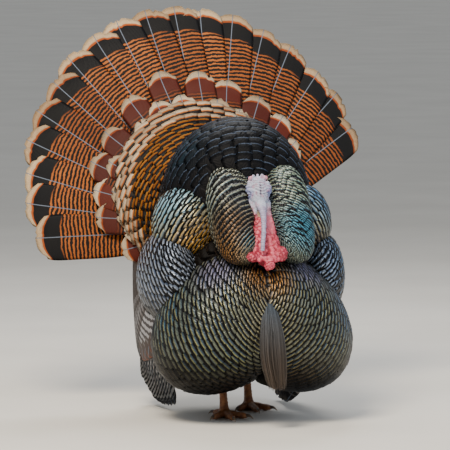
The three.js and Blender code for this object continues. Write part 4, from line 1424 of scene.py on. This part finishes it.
# Secondaries: brown-grey with a silver bloom and a chestnut margin at the end.
secondary_feather = barred_finish(
    "silver_secondary_feather", tip=("6A3A20", "7E4A2A"), edge="6A3014", band="4A3E3A",
    bars=("4A4648", "C2C4CA", "9E9CA0"), band_depths=(0.05, 0.09, 0.3, 0.5), period=0.17, bar_share=0.45,
    casts=("5A4232", "FFFFFF"),
)
PRIMARIES, SECONDARIES = 10, 17
for side, end in SIDES:
    primaries, secondaries = [], []
    for k in range(PRIMARIES):
        share = k / (PRIMARIES - 1)
        angle = 37 + 21 * share
        reach = (364 + 8 * min(1, 3 * share) - 70 * max(0, share - 0.33) / 0.67) * MM
        depth = (-9.5 + 0.3 * k) * MM
        splay = 26 * share - 6
        primaries.append(wing_feather(side, angle, 60 * MM, reach, 15 * MM, depth, 60 + k, 0.9, splay))
    for k in range(SECONDARIES):
        angle = 2.5 + 58 * k / (SECONDARIES - 1)
        rising = min(1, k / 8)
        falling = max(0, (k - 8) / 8)
        reach = (284 + 32 * rising - 168 * falling) * MM
        half = (24 - 6 * falling) * MM
        depth = (-4.4 + 0.34 * k) * MM
        secondaries.append(wing_feather(side, angle, 55 * MM, reach, half, depth, 80 + k))
    big_plumage("primaries_" + end, primaries, primary_feather, ["primaries_" + end])
    # The last feathers, at the rear, are mottled brown; those in front have the silver bloom.
    bloom = np.linspace(-0.1, 1.1, SECONDARIES) + random.normal(0, 0.22, SECONDARIES)
    bloom = np.clip(bloom, 0, 1)
    big_plumage("secondaries_" + end, secondaries, secondary_feather,
                ["secondaries_" + end], bloom)

# %% [markdown]
# ## Eyes and bill
#
# The eye is a full ball set in its socket, with a dark brown iris and a black pupil that looks
# out to the side under a clear, wet cornea. The bill is horn, darker at its base, with a lapped
# nostril and a hooked tip.

# %% Eyes
# Cornea and iris as one glossy ball: the pattern is drawn round the eye's own axis.
eye_finish, tree, shader = new_finish("wet_eyeball", Roughness=0.06)
shader.inputs["Coat Weight"].default_value = 1.0
shader.inputs["Coat Roughness"].default_value = 0.03
from_pupil = add(tree, "Attribute", {"attribute_name": "from_pupil"}, out=2)
place = add(tree, "TexCoord", out=3)
flecks = add(tree, "TexNoise", {}, {"Vector": place, "Scale": 1400.0})
uneven = add(tree, "Math", "MULTIPLY_ADD", [flecks, 0.08, from_pupil])
iris = add(tree, "ValToRGB", {"stops": [
    (0.0, "030303"), (0.30, "040303"), (0.36, "4A2A14"),
    (0.62, "5E3A1C"), (0.72, "1E120C"), (0.9, "2C2028"),
]}, [uneven])
tree.links.new(iris, shader.inputs["Base Color"])
PATTERN_EDGE = 1.25  # angle from the pupil, in radians, at which the pattern ends
CORNEA_EDGE = 0.78  # cosine of the angle from the pupil at which the cornea begins
for side, end in SIDES:
    shape = bmesh.new()
    socket = Matrix.Translation(EYES[side])
    bmesh.ops.create_uvsphere(shape, u_segments=40, v_segments=28, radius=EYE_RADIUS, matrix=socket)
    axis = unit(np.array([side * 0.93, 0, 0]) + 0.10 * ALONG + 0.34 * CROWN)
    gaps = []
    for point in shape.verts:
        way = (np.array(point.co) - EYES[side]) / EYE_RADIUS
        straight = float(way @ axis)
        gaps.append(math.acos(max(-1.0, min(1.0, straight))) / PATTERN_EDGE)
        if straight > CORNEA_EDGE:  # the cornea bulges a little
            point.co += Vector(axis * (straight - CORNEA_EDGE) * 1.6 * MM)
    mesh = mesh_of("eye_" + end, shape)
    store_value(mesh, "from_pupil", gaps)
    finished("eye_" + end, mesh, eye_finish, ["eye_" + end])

# %% Bill
# Horn: smooth, translucent-looking keratin, dark grey-brown at the root and yellow-grey forward.
horn, tree, shader = new_finish("bill_horn", Roughness=0.32)
run = add(tree, "Attribute", {"attribute_name": "run"}, out=2)
place = add(tree, "TexCoord", out=3)
grain = add(tree, "TexNoise", {}, {"Vector": place, "Scale": 500.0})
uneven = add(tree, "Math", "MULTIPLY_ADD", [grain, 0.25, run])
tone = add(tree, "ValToRGB", {"stops": [
    (0.1, "5E4A44"), (0.45, "8E7C68"), (0.8, "C4B48E"), (1.1, "B8A67E"),
]}, [uneven])
tree.links.new(tone, shader.inputs["Base Color"])


def lofted(name, rows, finish):
    """A closed tube through rings of points, each point told its run from the root to the tip."""
    shape = bmesh.new()
    rings = [[shape.verts.new(at) for at in row] for row in rows]
    for near, far in zip(rings, rings[1:]):
        for k in range(len(near)):
            n = (k + 1) % len(near)
            shape.faces.new((near[k], near[n], far[n], far[k]))
    shape.faces.new(rings[0][::-1])
    shape.faces.new(rings[-1])
    bmesh.ops.recalc_face_normals(shape, faces=shape.faces[:])
    mesh = mesh_of(name, shape)
    store_value(mesh, "run", np.repeat(np.linspace(0, 1, len(rows)), len(rows[0])))
    finished(name, mesh, finish, [name])


def bill_half(name, upper):
    """Half of the bill: rings of a flattened arch that taper and hook at the tip."""
    reach, rings, sides = (39, 22, 28) if upper else (33, 20, 28)
    drop = 3.2 if upper else -4.2
    rows = []
    for i in range(rings + 1):
        t = i / rings
        wide = 8.6 * (1 - 0.80 * t ** 1.9) * (1 if t < 1 else 0.6)
        tall = (6.0 if upper else 3.4) * (1 - 0.74 * t ** 1.8)
        centre = drop + (-5.2 * t ** 2.6 if upper else 0.4 * t)
        row = []
        for k in range(sides):
            turn = 2 * math.pi * k / sides
            side, lift = math.sin(turn), math.cos(turn)
            flat = 0.35 if (lift < 0) == upper else 1.0
            nostril = math.exp(-((t - 0.22) / 0.08) ** 2 - ((abs(turn - math.pi) - 1.95) / 0.22) ** 2)
            inward = 1 - 0.24 * nostril * upper
            row.append(head_point(
                side * wide * inward, 30 + reach * t, centre + lift * flat * tall * inward,
            ))
        rows.append(row)
    lofted(name, rows, horn)


bill_half("bill_upper", True)
bill_half("bill_lower", False)

# %% [markdown]
# ## Beard, legs, claws and spurs

# %% Beard
# A beard is a bundle of stiff bristles, each a thin tapering strand, worn to odd lengths.
beard_bristle, tree, shader = new_finish("beard_bristle", Roughness=0.6)
own = add(tree, "Attribute", {"attribute_name": "own"}, out=2)
down = add(tree, "Attribute", {"attribute_name": "down"}, out=2)
length_tone = add(tree, "ValToRGB", {"stops": [
    (0.0, "333E4A"), (0.25, "3C3E42"), (0.6, "3A332E"), (1.0, "4C4036"),
]}, [down])
spread = add(tree, "MapRange", {}, [own, 0, 1, 0.25, 1.9])
strands = add(tree, "Mix", TINT, {0: 1.0, 6: length_tone, 7: spread}, 2)
tree.links.new(strands, shader.inputs["Base Color"])
BEARD_PATH = [[0, -212, 232], [0, -230, 184], [2, -239, 130], [9, -247, 62]]
beard_line = smooth_path(BEARD_PATH, 60)
bristle_points, bristle_faces, owns, downs = [], [], [], []
BRISTLES, SECTIONS, CORNERS = 330, 13, 4
for k in range(BRISTLES):
    reach = 0.93 * random.uniform(0.80, 1.0) ** 0.7
    turn = random.uniform(0, 2 * math.pi)
    out = math.sqrt(random.uniform(0, 1))
    drift = random.normal(0, 0.05, 2)
    base = len(bristle_points)
    own_value = random.uniform(0, 1)
    for i in range(SECTIONS):
        t = reach * i / (SECTIONS - 1)
        wide = 24 * (0.22 + 0.74 * math.sin(math.pi * min(1, 0.12 + t * 0.75)) ** 1.2)
        deep = 7.5 * (0.6 + 0.6 * math.sin(math.pi * t * 0.9))
        centre = beard_line[min(59, round(t * 59))]
        x = math.cos(turn) * out + drift[0] * t * 3
        y = math.sin(turn) * out + drift[1] * t * 3
        girth = 0.95 * (1 - 0.75 * (i / (SECTIONS - 1)) ** 3)
        for c in range(CORNERS):
            bend = 2 * math.pi * c / CORNERS
            aside, ahead = x * wide + math.cos(bend) * girth, y * deep + math.sin(bend) * girth
            bristle_points.append(centre + np.array([aside, ahead, 0]) * MM)
            owns.append(own_value)
            downs.append(t)
    for i in range(SECTIONS - 1):
        for c in range(CORNERS):
            a, b = base + i * CORNERS + c, base + i * CORNERS + (c + 1) % CORNERS
            bristle_faces.append((a, a + CORNERS, b + CORNERS, b))
    bristle_faces.append(tuple(base + c for c in range(CORNERS)))
    last = base + (SECTIONS - 1) * CORNERS
    bristle_faces.append(tuple(last + c for c in reversed(range(CORNERS))))
mesh = bpy.data.meshes.new("beard")
mesh.from_pydata([tuple(p + BIRD) for p in bristle_points], [], bristle_faces)
mesh.validate()
store_value(mesh, "own", owns)
store_value(mesh, "down", downs)
finished("beard", mesh, beard_bristle, ["beard"])

# %% Legs
# Scales of the leg: overlapping horny plates across the front of shank and toes, small pebbles
# behind, brown with a red cast in the joints.
leg_scales, tree, shader = new_finish("leg_scales", Roughness=0.42)
plate = add(tree, "Attribute", {"attribute_name": "plate"}, out=2)
place = add(tree, "TexCoord", out=3)
grime = add(tree, "TexNoise", {}, {"Vector": place, "Scale": 120.0, "Detail": 4.0})
pebbles = add(tree, "TexVoronoi", {"feature": "DISTANCE_TO_EDGE"}, {"Vector": place, "Scale": 420.0})
tone = add(tree, "ValToRGB", {"stops": [(0.25, "5E3420"), (0.5, "8E5A34"), (0.75, "A8744A")]}, [grime])
seam = add(tree, "MapRange", {}, [plate, 0.0, 0.25, 0.35])
lined = add(tree, "Mix", TINT, {0: 1.0, 6: tone, 7: seam}, 2)
tree.links.new(lined, shader.inputs["Base Color"])
bump = add(tree, "Bump", {}, {"Height": pebbles, "Strength": 0.5, "Distance": 2 * MM})
tree.links.new(bump, shader.inputs["Normal"])
FEET = {1: (34, 75), -1: (-40, -30)}  # where each foot stands, in mm
SHANK_FOOT, SHANK_RISE, SHANK_LEAN = 10, 96, 27  # its lower end, height and slope backwards, in mm
SPUR_HEIGHT = 52
SHANK_PLATE, TOE_PLATE = 6.4, 4.2  # lengths of a horny plate, in mm


def toes_of(side):
    """Heading in degrees, length in mm and name of each toe."""
    return (
        (0, 66, "middle"), (side * 36, 52, "outer"), (-side * 36, 52, "inner"),
        (180 - side * 28, 26, "hind"),
    )


def heading_of(degrees):
    """The way of a heading over the floor, 0 being straight ahead."""
    turn = math.radians(degrees)
    return np.array([math.sin(turn), -math.cos(turn), 0])


for side, end in SIDES:
    x, y = FEET[side]
    crowd = []
    add_egg(crowd, np.array([x, y, 9]) * MM, np.array([12, 13.5, 9.5]) * MM)
    for heading, length, toe in toes_of(side):
        way = heading_of(heading)
        for t in np.linspace(0, 1, 26):
            at = np.array([x, y, 7.6 - 1.5 * t]) + way * (3 + (length - 3) * t)
            girth = 7.6 - 2.4 * t + 1.0 * abs(math.cos(t * math.pi * (2.5 if length > 40 else 1.5)))
            add_egg(crowd, at * MM, np.array([girth * 0.94, girth * 0.94, girth * 0.9]) * MM)
    low = np.array([x, y, SHANK_FOOT])
    high = low + [0, SHANK_LEAN, SHANK_RISE]
    for t in np.linspace(0, 1, 34):
        girth = 7.9 + 3.4 * math.exp(-t * 9) + 2.0 * math.exp(-((t - 1) * 7) ** 2)
        at = low + (high - low) * t
        add_egg(crowd, at * MM, np.array([girth * 0.92, girth * 1.12, 5]) * MM)
    add_bead(crowd, np.array([x - side * 3, y + 20.6, SPUR_HEIGHT]) * MM, 6)
    mesh = remeshed("leg_" + end, crowd, 1.5 * MM, rounds=2)
    points, normals = points_of(mesh)
    spot = points / MM
    forward = y + SHANK_LEAN * (spot[:, 2] - SHANK_FOOT) / SHANK_RISE - spot[:, 1]
    on_shank = ramp_to(spot[:, 2], 16, 22) * ramp_to(forward, -3, 2)
    tooth = spot[:, 2] / SHANK_PLATE % 1
    relief = on_shank * (0.75 * (1 - tooth) - 0.3)
    plates = 1 - on_shank * (1 - np.clip(np.abs(tooth - 0.02) * 6, 0, 1))
    for heading, length, toe in toes_of(side):
        way = heading_of(heading)
        gap = spot - np.array([x, y, 0])
        run = gap @ way
        off = np.abs(gap @ np.array([way[1], -way[0], 0]))
        on_toe = ramp_to(run, 7, 11) * ramp_to(-off, -8.5, -7) * ramp_to(spot[:, 2], 6, 9)
        on_toe = on_toe * (spot[:, 2] < 18)
        tooth = run / TOE_PLATE % 1
        relief += on_toe * (0.6 * tooth - 0.25)
        plates = np.minimum(plates, 1 - on_toe * (1 - np.clip(np.abs(tooth - 0.98) * 6, 0, 1)))
    points = points + normals * relief[:, None] * MM
    points[:, 2] = np.where(points[:, 2] < 0.9 * MM, 0.0, points[:, 2])
    mesh.vertices.foreach_set("co", points.reshape(-1))
    store_value(mesh, "plate", np.clip(plates, 0, 1))
    mesh.transform(Matrix.Translation(BIRD))
    mesh.shade_smooth()
    finished("leg_" + end, mesh, leg_scales, ["foot_" + end, "shank_" + end])

# %% Claws and spurs
# Claws: dark horn, paler and polished at the worn point.
claw_horn, tree, shader = new_finish("claw_horn", Roughness=0.3)
run = add(tree, "Attribute", {"attribute_name": "run"}, out=2)
place = add(tree, "TexCoord", out=3)
grain = add(tree, "TexNoise", {}, {"Vector": place, "Scale": 700.0})
uneven = add(tree, "Math", "MULTIPLY_ADD", [grain, 0.3, run])
tone = add(tree, "ValToRGB", {"stops": [(0.15, "3A2A20"), (0.6, "4A3A2E"), (1.1, "8E7A60")]}, [uneven])
tree.links.new(tone, shader.inputs["Base Color"])
HORN_FLATNESS = 0.86


def horn_cone(name, points, root, sides=14, rings=12):
    """A curved tapering claw or spur along a smooth path; root is its half-width in mm."""
    path = smooth_path(points, rings + 1)
    rows = []
    for i, at in enumerate(path):
        way = unit(path[min(rings, i + 1)] - path[max(0, i - 1)])
        across = unit(np.cross(way, [0, 0, 1]))
        lift = np.cross(across, way)
        girth = root * (1 - 0.88 * (i / rings) ** 1.3) * MM
        turns = [2 * math.pi * k / sides for k in range(sides)]
        rows.append([
            at + (across * math.cos(turn) * HORN_FLATNESS + lift * math.sin(turn)) * girth
            for turn in turns
        ])
    lofted(name, rows, claw_horn)


for side, end in SIDES:
    x, y = FEET[side]
    for heading, length, toe in toes_of(side):
        way = heading_of(heading)
        stations = [(length - 3, 6.2), (length + 8, 7.2), (length + 15, 4.6), (length + 19, 1.4)]
        points = [np.array([x, y, z]) + way * run for run, z in stations]
        horn_cone("claw_" + toe + "_" + end, points, 3.9)
    # The spur leaves the back of the shank, a little to the inside, and curves up.
    behind = y + SHANK_LEAN * SPUR_HEIGHT / SHANK_RISE
    horn_cone("spur_" + end, [
        [x - side * 3, behind + 5, SPUR_HEIGHT],
        [x - side * 6, behind + 15, SPUR_HEIGHT + 1],
        [x - side * 8, behind + 29, SPUR_HEIGHT + 8],
    ], 5.0)
